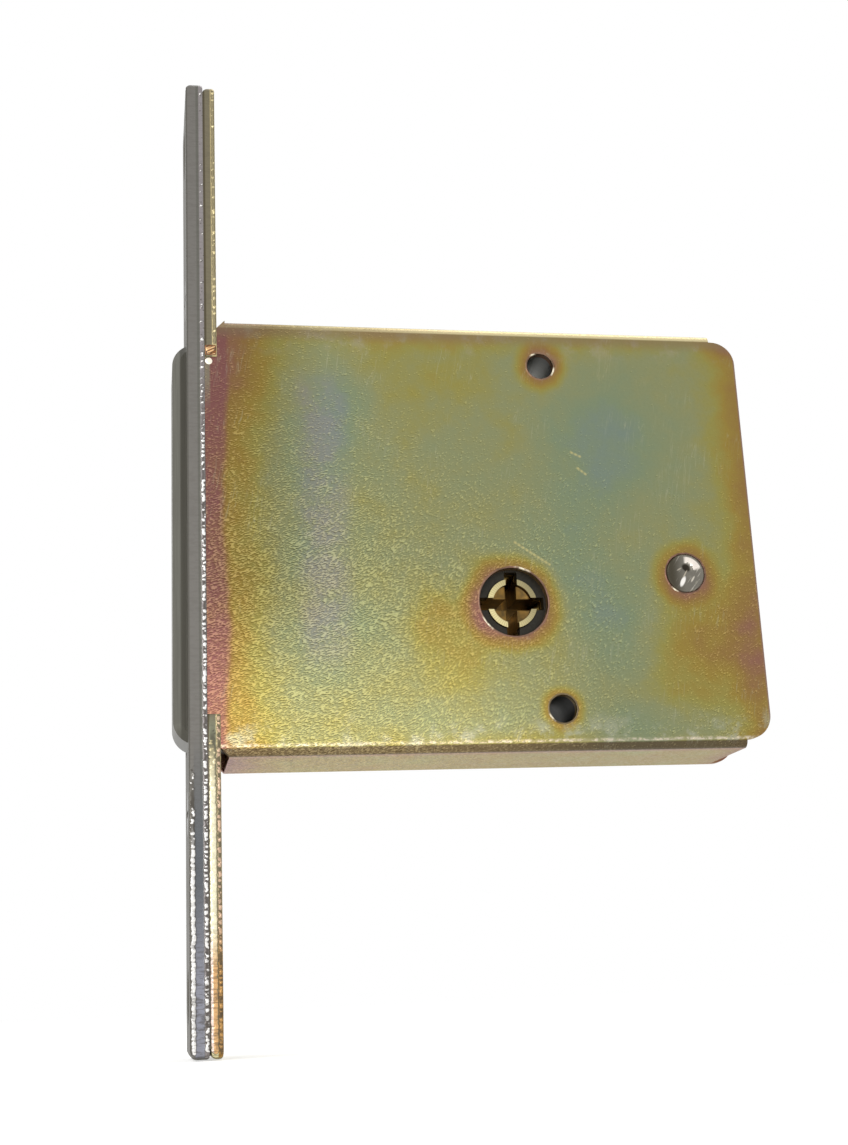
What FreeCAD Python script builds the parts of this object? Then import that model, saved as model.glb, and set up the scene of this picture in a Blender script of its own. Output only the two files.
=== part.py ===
"""Mortice deadlock for a cross-shaped key: folded steel case, forend, and a rack bolt driven by a pinion.

The frame's origin is the centre of the faceplate's front. +X runs into the door, +Y away from the face
that carries the keyhole, +Z up. All sizes are millimetres. The bolt is drawn back, as it rests.
"""

import FreeCAD
import Part

import math
import os

from FreeCAD import Vector

# forend: a nickel faceplate over a zinc plated inner plate
FOREND_HEIGHT = 169.0
FACEPLATE_THICK = 3.0
INNER_PLATE_THICK = 2.1
INNER_PLATE_TOP_GAP = 0.6
FOREND_CORNER_R = 1.2
FACEPLATE_EDGE_CHAMFER = 0.35
FOREND_SCREW_INSET = 9.5
FOREND_SCREW_R = 2.25
FOREND_SCREW_HEAD_R = 4.4
FACEPLATE_SCREW_OUTSET = 8.0
FACEPLATE_SCREW_R = 2.0
FACEPLATE_SCREW_HEAD_R = 3.7
FACEPLATE_SCREW_END_DEPTH = 0.3
SCREW_SLOT_WIDTH = 1.0
SCREW_SLOT_DEPTH = 0.9

# case: a folded tray closed by a flat cover
CASE_LENGTH = 94.0
CASE_HEIGHT = 76.0
CASE_DEPTH = 20.0
CASE_SHEET = 1.5
CASE_CORNER_R = 4.2
CASE_BEND_R = 1.4
CASE_FLANGE_STOP = 0.4
CASE_FRONT_CHAMFER = 1.4
TAB_INSET = 6.9

# key cylinder
BACKSET = 55.0
KEY_ABOVE_SIDE_HOLE = 18.6
KEYHOLE_R = 6.0
NOSE_R = 4.35
NOSE_PROUD = 0.35
NOSE_RIM_WALL = 0.95
NOSE_RECESS = 1.2
PLUG_R = 7.0
KEY_SLOT_WIDTH = 2.0
KEY_SLOT_SPAN = 11.0
KEY_SLOT_END_GAP = 1.1
NOTCH_EXTRA = 0.2
DRILL_PLATE_R = 15.0
DRILL_PLATE_THICK = 2.0
HOUSING_R = 14.0
HOUSING_SCREW_CIRCLE_R = 10.6
HOUSING_SCREW_R = 1.25
HOUSING_SCREW_HEAD_R = 2.2
HOUSING_SCREW_HEAD = 1.5
PIN_R = 1.1
PIN_STATIONS = 2
PIN_PITCH = 2.75
KEY_PIN_LENGTH = 1.95
KEY_PIN_TIP = 0.6
KEY_PIN_SUNK = 0.15
KEY_PIN_TRAVEL = 0.6
DRIVER_LENGTH = 2.1
DRIVER_TRAVEL = 1.2
SPRING_LENGTH = 3.3
SPRING_WIRE_R = 0.15
SPRING_TURNS = 3.5
CAP_LENGTH = 1.1

# rear end of the cylinder
HUB_R = 4.0
HUB_FLATS = 6.2
COLLAR_R = 5.0
COLLAR_LENGTH = 0.4
JOURNAL_R = 3.0
RING_GROOVE_R = 2.4
RING_R = 4.6
RING_THICK = 0.6
RING_MOUTH = 3.4
RING_END_GAP = 0.35
BUSH_FLANGE_R = 9.0
BUSH_FLANGE_THICK = 2.4
BUSH_NECK_R = 6.0
TAIL_DRIVE_WIDTH = 2.0
TAIL_DRIVE_DEPTH = 2.5

# rack and pinion
MODULE = 1.5
PINION_TEETH = 10
PRESSURE_ANGLE = 25.0
PINION_THICK = 4.0
PINION_ADDENDUM = 1.4
RACK_ADDENDUM = 1.2
ROOT_CLEARANCE = 0.15
FLANK_CLEARANCE = 0.12
RACK_TEETH = 8

# bolt
BOLT_CASE_GAP = 1.2
BOLT_THICK = 13.0
BOLT_LENGTH = 38.0
BOLT_PROUD = 2.4
BOLT_NOSE_R = 4.0
BOLT_EDGE_CHAMFER = 1.3
BOLT_THROW = 23.5
TAIL_THICK = 3.6
TAIL_INSET = 14.0
TAIL_BACK_GAP = 4.1
TAIL_TOP_Z = 13.5
TAIL_SLEEVE_GAP = 0.6
RACK_END_WALL = 2.6
WINDOW_CLEARANCE = 0.6
RIVET_R = 2.0
RIVET_HEIGHTS = (-18.0, -7.0, 7.0)
ROLLER_R = 2.3
ROLLER_BORE_R = 2.5
ROLLER_EDGE_INSET = 6.25
ROLLER_LENGTH = 27.0
ROLLER_PLUG_LENGTH = 3.6
ROLLER_AXIS_Y = -2.6

# posts, sleeves and the cover's screw
SIDE_HOLE_BEYOND_KEY = 7.4
SIDE_HOLE_INSET = 7.0
SIDE_HOLE_R = 2.4
SLEEVE_R = 4.0
REAR_POST_INSET = 13.0
REAR_POST_ABOVE_KEY = 5.1
REAR_POST_R = 4.0
REAR_POST_STUB_R = 3.5
REAR_POST_PEEN = 0.25
COVER_SCREW_R = 2.0
COVER_SCREW_HEAD_R = 3.6
COVER_SCREW_LENGTH = 9.0
GUIDE_HEAD_GAP = 8.4
GUIDE_END_WALL = 3.3
GUIDE_Z = 8.0
GUIDE_PIN_R = 2.5
GUIDE_SHOULDER_R = 4.0
GUIDE_SLOT_CLEARANCE = 0.2
GUIDE_WASHER_R = 4.5
GUIDE_WASHER_THICK = 0.6
GUIDE_PEEN = 0.4

# fits
RUNNING = 0.05
SEAT = 0.02
SLIDE = 0.25
FACE_GAP = 0.2
LAYER_GAP = 0.5
PEEN_EDGE = 0.15

# how far a cutting shape reaches past what it cuts
OVERCUT = 1.0
# what still counts as the same place
TOUCHING = 0.001

# places worked out from the sizes above
FRONT_X = FACEPLATE_THICK + INNER_PLATE_THICK
BACK_X = FRONT_X + CASE_LENGTH
FACE_Y = -CASE_DEPTH / 2
INNER_NEAR_Y = FACE_Y + CASE_SHEET
INNER_FAR_Y = CASE_DEPTH / 2 - CASE_SHEET
HALF_CASE = CASE_HEIGHT / 2
FLANGE_END_X = BACK_X - CASE_CORNER_R - CASE_FLANGE_STOP
FOREND_WIDTH = CASE_DEPTH
FOREND_SCREW_SPACING = FOREND_HEIGHT - 2 * FOREND_SCREW_INSET
FACEPLATE_SCREW_SPACING = CASE_HEIGHT + 2 * FACEPLATE_SCREW_OUTSET
TAB_HEIGHT = CASE_HEIGHT - 2 * TAB_INSET
SIDE_HOLE_SPACING = CASE_HEIGHT - 2 * SIDE_HOLE_INSET
SIDE_HOLE_X = BACKSET + SIDE_HOLE_BEYOND_KEY
KEY_AXIS_Z = KEY_ABOVE_SIDE_HOLE - SIDE_HOLE_SPACING / 2
REAR_POST_X = BACK_X - REAR_POST_INSET
REAR_POST_Z = KEY_AXIS_Z + REAR_POST_ABOVE_KEY
BUSH_NEAR_Y = INNER_FAR_Y - BUSH_FLANGE_THICK
RING_NEAR_Y = BUSH_NEAR_Y - RING_END_GAP - RING_THICK
PINION_FAR_Y = RING_NEAR_Y - RUNNING
PINION_NEAR_Y = PINION_FAR_Y - PINION_THICK
PLUG_REAR_Y = PINION_NEAR_Y - COLLAR_LENGTH
HOUSING_FRONT_Y = INNER_NEAR_Y + DRILL_PLATE_THICK
HOUSING_REAR_Y = PLUG_REAR_Y + FACE_GAP / 2
PLUG_FRONT_Y = HOUSING_FRONT_Y + FACE_GAP / 2
NOSE_FRONT_Y = INNER_NEAR_Y - NOSE_PROUD
FIRST_PIN_Y = (HOUSING_FRONT_Y + HOUSING_REAR_Y - PIN_PITCH * (PIN_STATIONS - 1)) / 2
TAIL_NEAR_Y = HOUSING_REAR_Y + LAYER_GAP
TAIL_FAR_Y = TAIL_NEAR_Y + TAIL_THICK
PITCH_R = MODULE * PINION_TEETH / 2
PINION_OUTER_R = PITCH_R + PINION_ADDENDUM
RACK_PITCH_Z = KEY_AXIS_Z - PITCH_R
RACK_ROOT_Z = KEY_AXIS_Z - PINION_OUTER_R - ROOT_CLEARANCE
BOLT_HEIGHT = CASE_HEIGHT - 2 * CASE_SHEET - 2 * BOLT_CASE_GAP
BOLT_BACK_X = BOLT_LENGTH - BOLT_PROUD
ROLLER_TOP_Z = BOLT_HEIGHT / 2 - ROLLER_EDGE_INSET
ROLLER_HEIGHTS = (-ROLLER_TOP_Z, 0.0, ROLLER_TOP_Z)
TAIL_END_X = BACK_X - CASE_SHEET - TAIL_BACK_GAP
TAIL_BOTTOM_Z = SLEEVE_R + TAIL_SLEEVE_GAP - SIDE_HOLE_SPACING / 2
RACK_PITCH = math.pi * MODULE
RACK_END_X = BACKSET + RACK_PITCH * (RACK_TEETH - 2) + RACK_END_WALL
GUIDE_SLOT_R = GUIDE_PIN_R + GUIDE_SLOT_CLEARANCE
GUIDE_POST_XS = (BOLT_BACK_X + GUIDE_HEAD_GAP, TAIL_END_X - GUIDE_END_WALL - GUIDE_SLOT_R - BOLT_THROW)
KEY_SLOT_END_Y = PLUG_REAR_Y - KEY_SLOT_END_GAP
CHAMBER_R = PIN_R + RUNNING
HOUSING_BORE_R = PLUG_R + RUNNING
KEY_PIN_END_R = PLUG_R - KEY_PIN_SUNK
KEY_PIN_START_R = KEY_PIN_END_R - KEY_PIN_LENGTH
DRIVER_START_R = HOUSING_BORE_R + RUNNING
SPRING_START_R = DRIVER_START_R + DRIVER_LENGTH + SEAT
CAP_START_R = SPRING_START_R + SPRING_LENGTH + SEAT
SIDES = {"top": 90.0, "rear": 0.0, "bottom": 270.0, "front": 180.0}


def box(x0, x1, y0, y1, z0, z1):
    return Part.makeBox(x1 - x0, y1 - y0, z1 - z0, Vector(x0, y0, z0))


def rod_y(radius, x, z, y0, y1):
    """Cylinder along Y."""
    return Part.makeCylinder(radius, y1 - y0, Vector(x, y0, z), Vector(0, 1, 0))


def rod_x(radius, y, z, x0, x1):
    """Cylinder along X."""
    return Part.makeCylinder(radius, x1 - x0, Vector(x0, y, z), Vector(1, 0, 0))


def bore_y(radius, x, z, y0, y1):
    """Cutter for a hole along Y that passes both ends."""
    return rod_y(radius, x, z, y0 - OVERCUT, y1 + OVERCUT)


def bore_x(radius, y, z, x0, x1):
    """Cutter for a hole along X that passes both ends."""
    return rod_x(radius, y, z, x0 - OVERCUT, x1 + OVERCUT)


def cone_y(radius0, radius1, x, z, y0, y1):
    """Cone along Y from radius0 at y0 to radius1 at y1."""
    return Part.makeCone(radius0, radius1, y1 - y0, Vector(x, y0, z), Vector(0, 1, 0))


def fuse(shapes):
    """One solid from several that overlap or touch."""
    whole = shapes[0]
    if len(shapes) > 1:
        whole = shapes[0].fuse(shapes[1:])
    return whole.removeSplitter()


def group(shapes):
    """Separate solids that share one node."""
    return Part.makeCompound(shapes)


def prism_y(points, y0, y1):
    """Straight sided outline in X and Z, drawn out along Y."""
    corners = [Vector(x, y0, z) for x, z in points]
    face = Part.Face(Part.makePolygon(corners + corners[:1]))
    return face.extrude(Vector(0, y1 - y0, 0))


def rounded_slab(shape, radius, axis, keep):
    """Rounds the edges that run along an axis and whose middle passes the test keep."""
    edges = []
    for edge in shape.Edges:
        ends = [vertex.Point for vertex in edge.Vertexes]
        if len(ends) < 2:
            continue
        run = ends[1].sub(ends[0])
        along = abs(run.dot(axis)) > 0.999 * run.Length
        if along and keep(edge.CenterOfMass):
            edges.append(edge)
    return shape.makeFillet(radius, edges)


def forend_blank(x0, x1, z0, z1):
    """Flat bar with rounded ends, standing along Z."""
    half = FOREND_WIDTH / 2
    slab = box(x0, x1, -half, half, z0, z1)
    return rounded_slab(slab, FOREND_CORNER_R, Vector(1, 0, 0), lambda centre: True)


def bolt_window(x0, x1):
    """The hole that the bolt slides through."""
    half_y = BOLT_THICK / 2 + SLIDE
    half_z = BOLT_HEIGHT / 2 + SLIDE
    return box(x0, x1, -half_y, half_y, -half_z, half_z)


def screw_heights(spacing):
    return (-spacing / 2, spacing / 2)


def countersink(head_r, shank_r):
    """Cone of a countersunk head whose top lies in the faceplate's front, at the origin."""
    depth = head_r - shank_r
    return Part.makeCone(head_r, shank_r, depth, Vector(0, 0, 0), Vector(1, 0, 0))


def outer_faceplate():
    half = FOREND_HEIGHT / 2
    plate = forend_blank(0, FACEPLATE_THICK, -half, half)
    rim = [edge for edge in plate.Edges if edge.BoundBox.XMax < TOUCHING]
    plate = plate.makeChamfer(FACEPLATE_EDGE_CHAMFER, rim)
    cuts = [bolt_window(-OVERCUT, FACEPLATE_THICK + OVERCUT)]
    for z in screw_heights(FOREND_SCREW_SPACING):
        cuts.append(bore_x(FOREND_SCREW_R, 0, z, 0, FACEPLATE_THICK))
        cuts.append(countersink(FOREND_SCREW_HEAD_R, FOREND_SCREW_R).translated(Vector(0, 0, z)))
    for z in screw_heights(FACEPLATE_SCREW_SPACING):
        hole_r = FACEPLATE_SCREW_R + SEAT
        cuts.append(bore_x(hole_r, 0, z, 0, FACEPLATE_THICK))
        head_r = FACEPLATE_SCREW_HEAD_R + SEAT
        cuts.append(countersink(head_r, hole_r).translated(Vector(0, 0, z)))
    return plate.cut(cuts)


def inner_forend():
    half = FOREND_HEIGHT / 2
    plate = forend_blank(FACEPLATE_THICK, FRONT_X, -half, half - INNER_PLATE_TOP_GAP)
    cuts = [bolt_window(FACEPLATE_THICK - OVERCUT, FRONT_X + OVERCUT)]
    for z in screw_heights(FOREND_SCREW_SPACING):
        cuts.append(bore_x(FOREND_SCREW_R, 0, z, FACEPLATE_THICK, FRONT_X))
    for z in screw_heights(FACEPLATE_SCREW_SPACING):
        cuts.append(bore_x(FACEPLATE_SCREW_R + SEAT, 0, z, FACEPLATE_THICK, FRONT_X))
    for side in (-1, 1):
        ys = sorted((side * INNER_FAR_Y, side * FOREND_WIDTH))
        half_tab = TAB_HEIGHT / 2 + SEAT
        cuts.append(box(FACEPLATE_THICK - OVERCUT, FRONT_X + OVERCUT, ys[0], ys[1], -half_tab, half_tab))
    return plate.cut(cuts)


def faceplate_screws():
    screws = []
    for z in screw_heights(FACEPLATE_SCREW_SPACING):
        shank = rod_x(FACEPLATE_SCREW_R, 0, z, SEAT, FRONT_X - FACEPLATE_SCREW_END_DEPTH)
        head = countersink(FACEPLATE_SCREW_HEAD_R, FACEPLATE_SCREW_R).translated(Vector(SEAT, 0, z))
        slot_half = SCREW_SLOT_WIDTH / 2
        reach = FACEPLATE_SCREW_HEAD_R + OVERCUT
        slot = box(-OVERCUT, SCREW_SLOT_DEPTH, -reach, reach, z - slot_half, z + slot_half)
        screws.append(fuse([shank, head]).cut(slot))
    return group(screws)


def case_outline(y0, y1, corner_drop):
    """Side sheet of the case: round rear corners, clipped front corners and a tab into the forend.

    The rear corners stand corner_drop inside the top and bottom, where a fold ends above them.
    """
    body = box(FRONT_X, FLANGE_END_X, y0, y1, -HALF_CASE, HALF_CASE)
    rear_half = HALF_CASE - corner_drop
    rear = box(FRONT_X, BACK_X, y0, y1, -rear_half, rear_half)
    along_y = Vector(0, 1, 0)
    rear = rounded_slab(rear, CASE_CORNER_R, along_y, lambda centre: centre.x > BACK_X - TOUCHING)
    slab = body.fuse(rear)
    clips = []
    for side in (-1, 1):
        z = side * HALF_CASE
        inner = side * (HALF_CASE - CASE_FRONT_CHAMFER)
        corner = [(FRONT_X, z), (FRONT_X + CASE_FRONT_CHAMFER, z), (FRONT_X, inner)]
        clips.append(prism_y(corner, y0, y1))
    tab = box(FACEPLATE_THICK, FRONT_X + OVERCUT, y0, y1, -TAB_HEIGHT / 2, TAB_HEIGHT / 2)
    return slab.cut(clips).fuse(tab).removeSplitter()


def bend_cutter_z(side, x0, x1):
    """Takes the sharp edge off a top or bottom fold, so that it has the bend's radius."""
    centre_y = FACE_Y + CASE_BEND_R
    centre_z = side * (HALF_CASE - CASE_BEND_R)
    zs = sorted((centre_z, side * (HALF_CASE + OVERCUT)))
    corner = box(x0, x1, FACE_Y - OVERCUT, centre_y, zs[0], zs[1])
    return corner.cut(bore_x(CASE_BEND_R, centre_y, centre_z, x0, x1))


def case_pan():
    sheet = case_outline(FACE_Y, INNER_NEAR_Y, CASE_BEND_R)
    back_half = HALF_CASE - CASE_BEND_R - CASE_CORNER_R - CASE_FLANGE_STOP
    front = FRONT_X + CASE_FRONT_CHAMFER
    folds = []
    cutters = []
    for side in (-1, 1):
        zs = sorted((side * (HALF_CASE - CASE_SHEET), side * HALF_CASE))
        folds.append(box(front, FLANGE_END_X, FACE_Y, INNER_FAR_Y, zs[0], zs[1]))
        cutters.append(bend_cutter_z(side, front, FLANGE_END_X))
    folds.append(box(BACK_X - CASE_SHEET, BACK_X, FACE_Y, INNER_FAR_Y, -back_half, back_half))
    pan = fuse([sheet] + folds).cut(cutters)
    holes = [bore_y(KEYHOLE_R, BACKSET, KEY_AXIS_Z, FACE_Y, INNER_NEAR_Y)]
    for z in screw_heights(SIDE_HOLE_SPACING):
        holes.append(bore_y(SIDE_HOLE_R, SIDE_HOLE_X, z, FACE_Y, INNER_NEAR_Y))
    stub_r = REAR_POST_STUB_R + SEAT
    holes.append(bore_y(stub_r, REAR_POST_X, REAR_POST_Z, FACE_Y, INNER_NEAR_Y))
    return pan.cut(holes)


def case_cover():
    far = CASE_DEPTH / 2
    sheet = case_outline(INNER_FAR_Y, far, 0)
    holes = [bore_y(BUSH_NECK_R + SEAT, BACKSET, KEY_AXIS_Z, INNER_FAR_Y, far)]
    for z in screw_heights(SIDE_HOLE_SPACING):
        holes.append(bore_y(SIDE_HOLE_R, SIDE_HOLE_X, z, INNER_FAR_Y, far))
    for x in GUIDE_POST_XS:
        holes.append(bore_y(GUIDE_PIN_R + SEAT, x, GUIDE_Z, INNER_FAR_Y, far))
    shank_r = COVER_SCREW_R + SEAT
    head_r = COVER_SCREW_HEAD_R + SEAT
    sink = head_r - shank_r
    holes.append(bore_y(shank_r, REAR_POST_X, REAR_POST_Z, INNER_FAR_Y, far))
    holes.append(cone_y(shank_r, head_r, REAR_POST_X, REAR_POST_Z, far - sink, far))
    return sheet.cut(holes)


def rear_post():
    """Shouldered post, riveted over in the side sheet and tapped for the cover's screw."""
    body = rod_y(REAR_POST_R, REAR_POST_X, REAR_POST_Z, INNER_NEAR_Y, INNER_FAR_Y)
    stub = rod_y(REAR_POST_STUB_R, REAR_POST_X, REAR_POST_Z, FACE_Y, INNER_NEAR_Y)
    peen = cone_y(REAR_POST_STUB_R - 2 * PEEN_EDGE, REAR_POST_STUB_R, REAR_POST_X, REAR_POST_Z,
                  FACE_Y - REAR_POST_PEEN, FACE_Y)
    far = CASE_DEPTH / 2
    bore = rod_y(COVER_SCREW_R + SEAT, REAR_POST_X, REAR_POST_Z, far - COVER_SCREW_LENGTH - OVERCUT, far)
    sink = COVER_SCREW_HEAD_R - COVER_SCREW_R + SEAT
    mouth = cone_y(COVER_SCREW_R, COVER_SCREW_HEAD_R + SEAT, REAR_POST_X, REAR_POST_Z, far - sink, far)
    return fuse([body, stub, peen]).cut([bore, mouth])


def cover_screw():
    far = CASE_DEPTH / 2
    sink = COVER_SCREW_HEAD_R - COVER_SCREW_R
    shank = rod_y(COVER_SCREW_R, REAR_POST_X, REAR_POST_Z, far - COVER_SCREW_LENGTH, far)
    head = cone_y(COVER_SCREW_R, COVER_SCREW_HEAD_R, REAR_POST_X, REAR_POST_Z, far - sink, far)
    slot_half = SCREW_SLOT_WIDTH / 2
    reach = COVER_SCREW_HEAD_R + OVERCUT
    slot = box(REAR_POST_X - reach, REAR_POST_X + reach, far - SCREW_SLOT_DEPTH, far + OVERCUT,
               REAR_POST_Z - slot_half, REAR_POST_Z + slot_half)
    return fuse([shank, head]).cut(slot)


def side_sleeve(z):
    """Tube between the sheets, in line with a side fixing hole."""
    tube = rod_y(SLEEVE_R, SIDE_HOLE_X, z, INNER_NEAR_Y, INNER_FAR_Y)
    return tube.cut(bore_y(SIDE_HOLE_R, SIDE_HOLE_X, z, INNER_NEAR_Y, INNER_FAR_Y))


def key_cross(width, span, y0, y1):
    """Cross-shaped cutter on the key's axis."""
    half = width / 2
    reach = span / 2
    upright = box(BACKSET - half, BACKSET + half, y0, y1, KEY_AXIS_Z - reach, KEY_AXIS_Z + reach)
    level = box(BACKSET - reach, BACKSET + reach, y0, y1, KEY_AXIS_Z - half, KEY_AXIS_Z + half)
    return upright.fuse(level)


def screw_circle():
    """The four places of the housing's screws, between the pin chambers."""
    places = []
    for step in range(4):
        turn = math.radians(45 + 90 * step)
        x = BACKSET + HOUSING_SCREW_CIRCLE_R * math.cos(turn)
        z = KEY_AXIS_Z + HOUSING_SCREW_CIRCLE_R * math.sin(turn)
        places.append((x, z))
    return places


def drill_plate():
    """Hardened disc behind the keyhole, notched for the key's four blades."""
    disc = rod_y(DRILL_PLATE_R, BACKSET, KEY_AXIS_Z, INNER_NEAR_Y, HOUSING_FRONT_Y)
    cuts = [bore_y(NOSE_R + RUNNING, BACKSET, KEY_AXIS_Z, INNER_NEAR_Y, HOUSING_FRONT_Y)]
    cuts.append(key_cross(KEY_SLOT_WIDTH + NOTCH_EXTRA, KEY_SLOT_SPAN + NOTCH_EXTRA,
                          INNER_NEAR_Y - OVERCUT, HOUSING_FRONT_Y + OVERCUT))
    for x, z in screw_circle():
        cuts.append(bore_y(HOUSING_SCREW_R + SEAT, x, z, INNER_NEAR_Y, HOUSING_FRONT_Y))
    return disc.cut(cuts)


def station_ys():
    return [FIRST_PIN_Y + PIN_PITCH * step for step in range(PIN_STATIONS)]


def radial(radius, start, end, angle, y):
    """Cylinder that points away from the key's axis."""
    turn = math.radians(angle)
    way = Vector(math.cos(turn), 0, math.sin(turn))
    foot = Vector(BACKSET, y, KEY_AXIS_Z).add(way * start)
    return Part.makeCylinder(radius, end - start, foot, way)


def radial_cone(radius0, radius1, start, end, angle, y):
    turn = math.radians(angle)
    way = Vector(math.cos(turn), 0, math.sin(turn))
    foot = Vector(BACKSET, y, KEY_AXIS_Z).add(way * start)
    return Part.makeCone(radius0, radius1, end - start, foot, way)


def cylinder_housing():
    body = rod_y(HOUSING_R, BACKSET, KEY_AXIS_Z, HOUSING_FRONT_Y, HOUSING_REAR_Y)
    cuts = [bore_y(HOUSING_BORE_R, BACKSET, KEY_AXIS_Z, HOUSING_FRONT_Y, HOUSING_REAR_Y)]
    for angle in SIDES.values():
        for y in station_ys():
            cuts.append(radial(CHAMBER_R, PLUG_R - OVERCUT, HOUSING_R + OVERCUT, angle, y))
    for x, z in screw_circle():
        cuts.append(bore_y(HOUSING_SCREW_R + SEAT, x, z, HOUSING_FRONT_Y, HOUSING_REAR_Y))
        head_y = HOUSING_REAR_Y - HOUSING_SCREW_HEAD - SEAT
        cuts.append(rod_y(HOUSING_SCREW_HEAD_R + RUNNING, x, z, head_y, HOUSING_REAR_Y + OVERCUT))
    return body.cut(cuts)


def housing_screws():
    screws = []
    for x, z in screw_circle():
        head_y = HOUSING_REAR_Y - HOUSING_SCREW_HEAD
        shank = rod_y(HOUSING_SCREW_R, x, z, INNER_NEAR_Y + SEAT, head_y)
        head = rod_y(HOUSING_SCREW_HEAD_R, x, z, head_y, HOUSING_REAR_Y)
        slot_half = SCREW_SLOT_WIDTH / 4
        slot = box(x - HOUSING_SCREW_HEAD_R, x + HOUSING_SCREW_HEAD_R,
                   HOUSING_REAR_Y - HOUSING_SCREW_HEAD / 2, HOUSING_REAR_Y + OVERCUT,
                   z - slot_half, z + slot_half)
        screws.append(fuse([shank, head]).cut(slot))
    return group(screws)


def chamber_caps():
    caps = []
    for angle in SIDES.values():
        for y in station_ys():
            caps.append(radial(PIN_R + RUNNING - SEAT, CAP_START_R, CAP_START_R + CAP_LENGTH, angle, y))
    return group(caps)


def key_pins(angle):
    pins = []
    for y in station_ys():
        tip_end = KEY_PIN_START_R + KEY_PIN_TIP
        shank = radial(PIN_R, tip_end, KEY_PIN_END_R, angle, y)
        tip = radial_cone(PIN_R - KEY_PIN_TIP, PIN_R, KEY_PIN_START_R, tip_end, angle, y)
        pins.append(fuse([shank, tip]))
    return group(pins)


def driver_pins(angle):
    return group([radial(PIN_R, DRIVER_START_R, DRIVER_START_R + DRIVER_LENGTH, angle, y)
                  for y in station_ys()])


def arc_through(start, corner, end):
    """Round arc from start to end whose end tangents meet at corner."""
    leg = corner.sub(start).Length
    weight = end.sub(start).Length / 2 / leg
    middle = (start + corner * (2 * weight) + end) * (1 / (2 * (1 + weight)))
    return Part.Arc(start, middle, end).toShape()


def biarc(p0, t0, p1, t1):
    """Two arcs that leave p0 along t0 and reach p1 along t1, with equal tangent lengths."""
    chord = p1.sub(p0)
    turned = 2 * (1 - t0.dot(t1))
    push = chord.dot(t0 + t1)
    length = (-push + math.sqrt(push * push + turned * chord.dot(chord))) / turned
    first = p0 + t0 * length
    second = p1 - t1 * length
    middle = (first + second) * 0.5
    return [arc_through(p0, first, middle), arc_through(middle, second, p1)]


def helix_point(radius, rise, angle):
    """Point and unit tangent of a helix about Z."""
    point = Vector(radius * math.cos(angle), radius * math.sin(angle), rise * angle / (2 * math.pi))
    tangent = Vector(-radius * math.sin(angle), radius * math.cos(angle), rise / (2 * math.pi))
    return point, tangent.normalize()


def coil_spring():
    """One spring that stands on the origin along Z."""
    coil_r = PIN_R - SPRING_WIRE_R - RUNNING
    rise = (SPRING_LENGTH - 2 * SPRING_WIRE_R) / SPRING_TURNS
    quarters = int(round(SPRING_TURNS * 4))
    edges = []
    for step in range(quarters):
        start = helix_point(coil_r, rise, step * math.pi / 2)
        end = helix_point(coil_r, rise, (step + 1) * math.pi / 2)
        edges += biarc(start[0], start[1], end[0], end[1])
    path = Part.Wire(edges)
    foot, tangent = helix_point(coil_r, rise, 0)
    ring = Part.Wire(Part.Circle(foot, tangent, SPRING_WIRE_R).toShape())
    coil = path.makePipeShell([ring], True, False)
    print("spring: least gap between turns %.2f mm" % (rise - 2 * SPRING_WIRE_R))
    return coil.translated(Vector(0, 0, SPRING_WIRE_R))


def driver_springs(angle):
    spring = coil_spring()
    turn = math.radians(angle)
    way = Vector(math.cos(turn), 0, math.sin(turn))
    springs = []
    for y in station_ys():
        foot = Vector(BACKSET, y, KEY_AXIS_Z).add(way * SPRING_START_R)
        place = FreeCAD.Placement(foot, FreeCAD.Rotation(Vector(0, 0, 1), way))
        copy = spring.copy()
        copy.Placement = place.multiply(copy.Placement)
        springs.append(copy)
    return group(springs)


def hub_section(flats, y0, y1):
    """Round bar with two flats, which drives the pinion."""
    bar = rod_y(HUB_R, BACKSET, KEY_AXIS_Z, y0, y1)
    half = flats / 2
    keep = box(BACKSET - HUB_R, BACKSET + HUB_R, y0, y1, KEY_AXIS_Z - half, KEY_AXIS_Z + half)
    return bar.common(keep)


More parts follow.
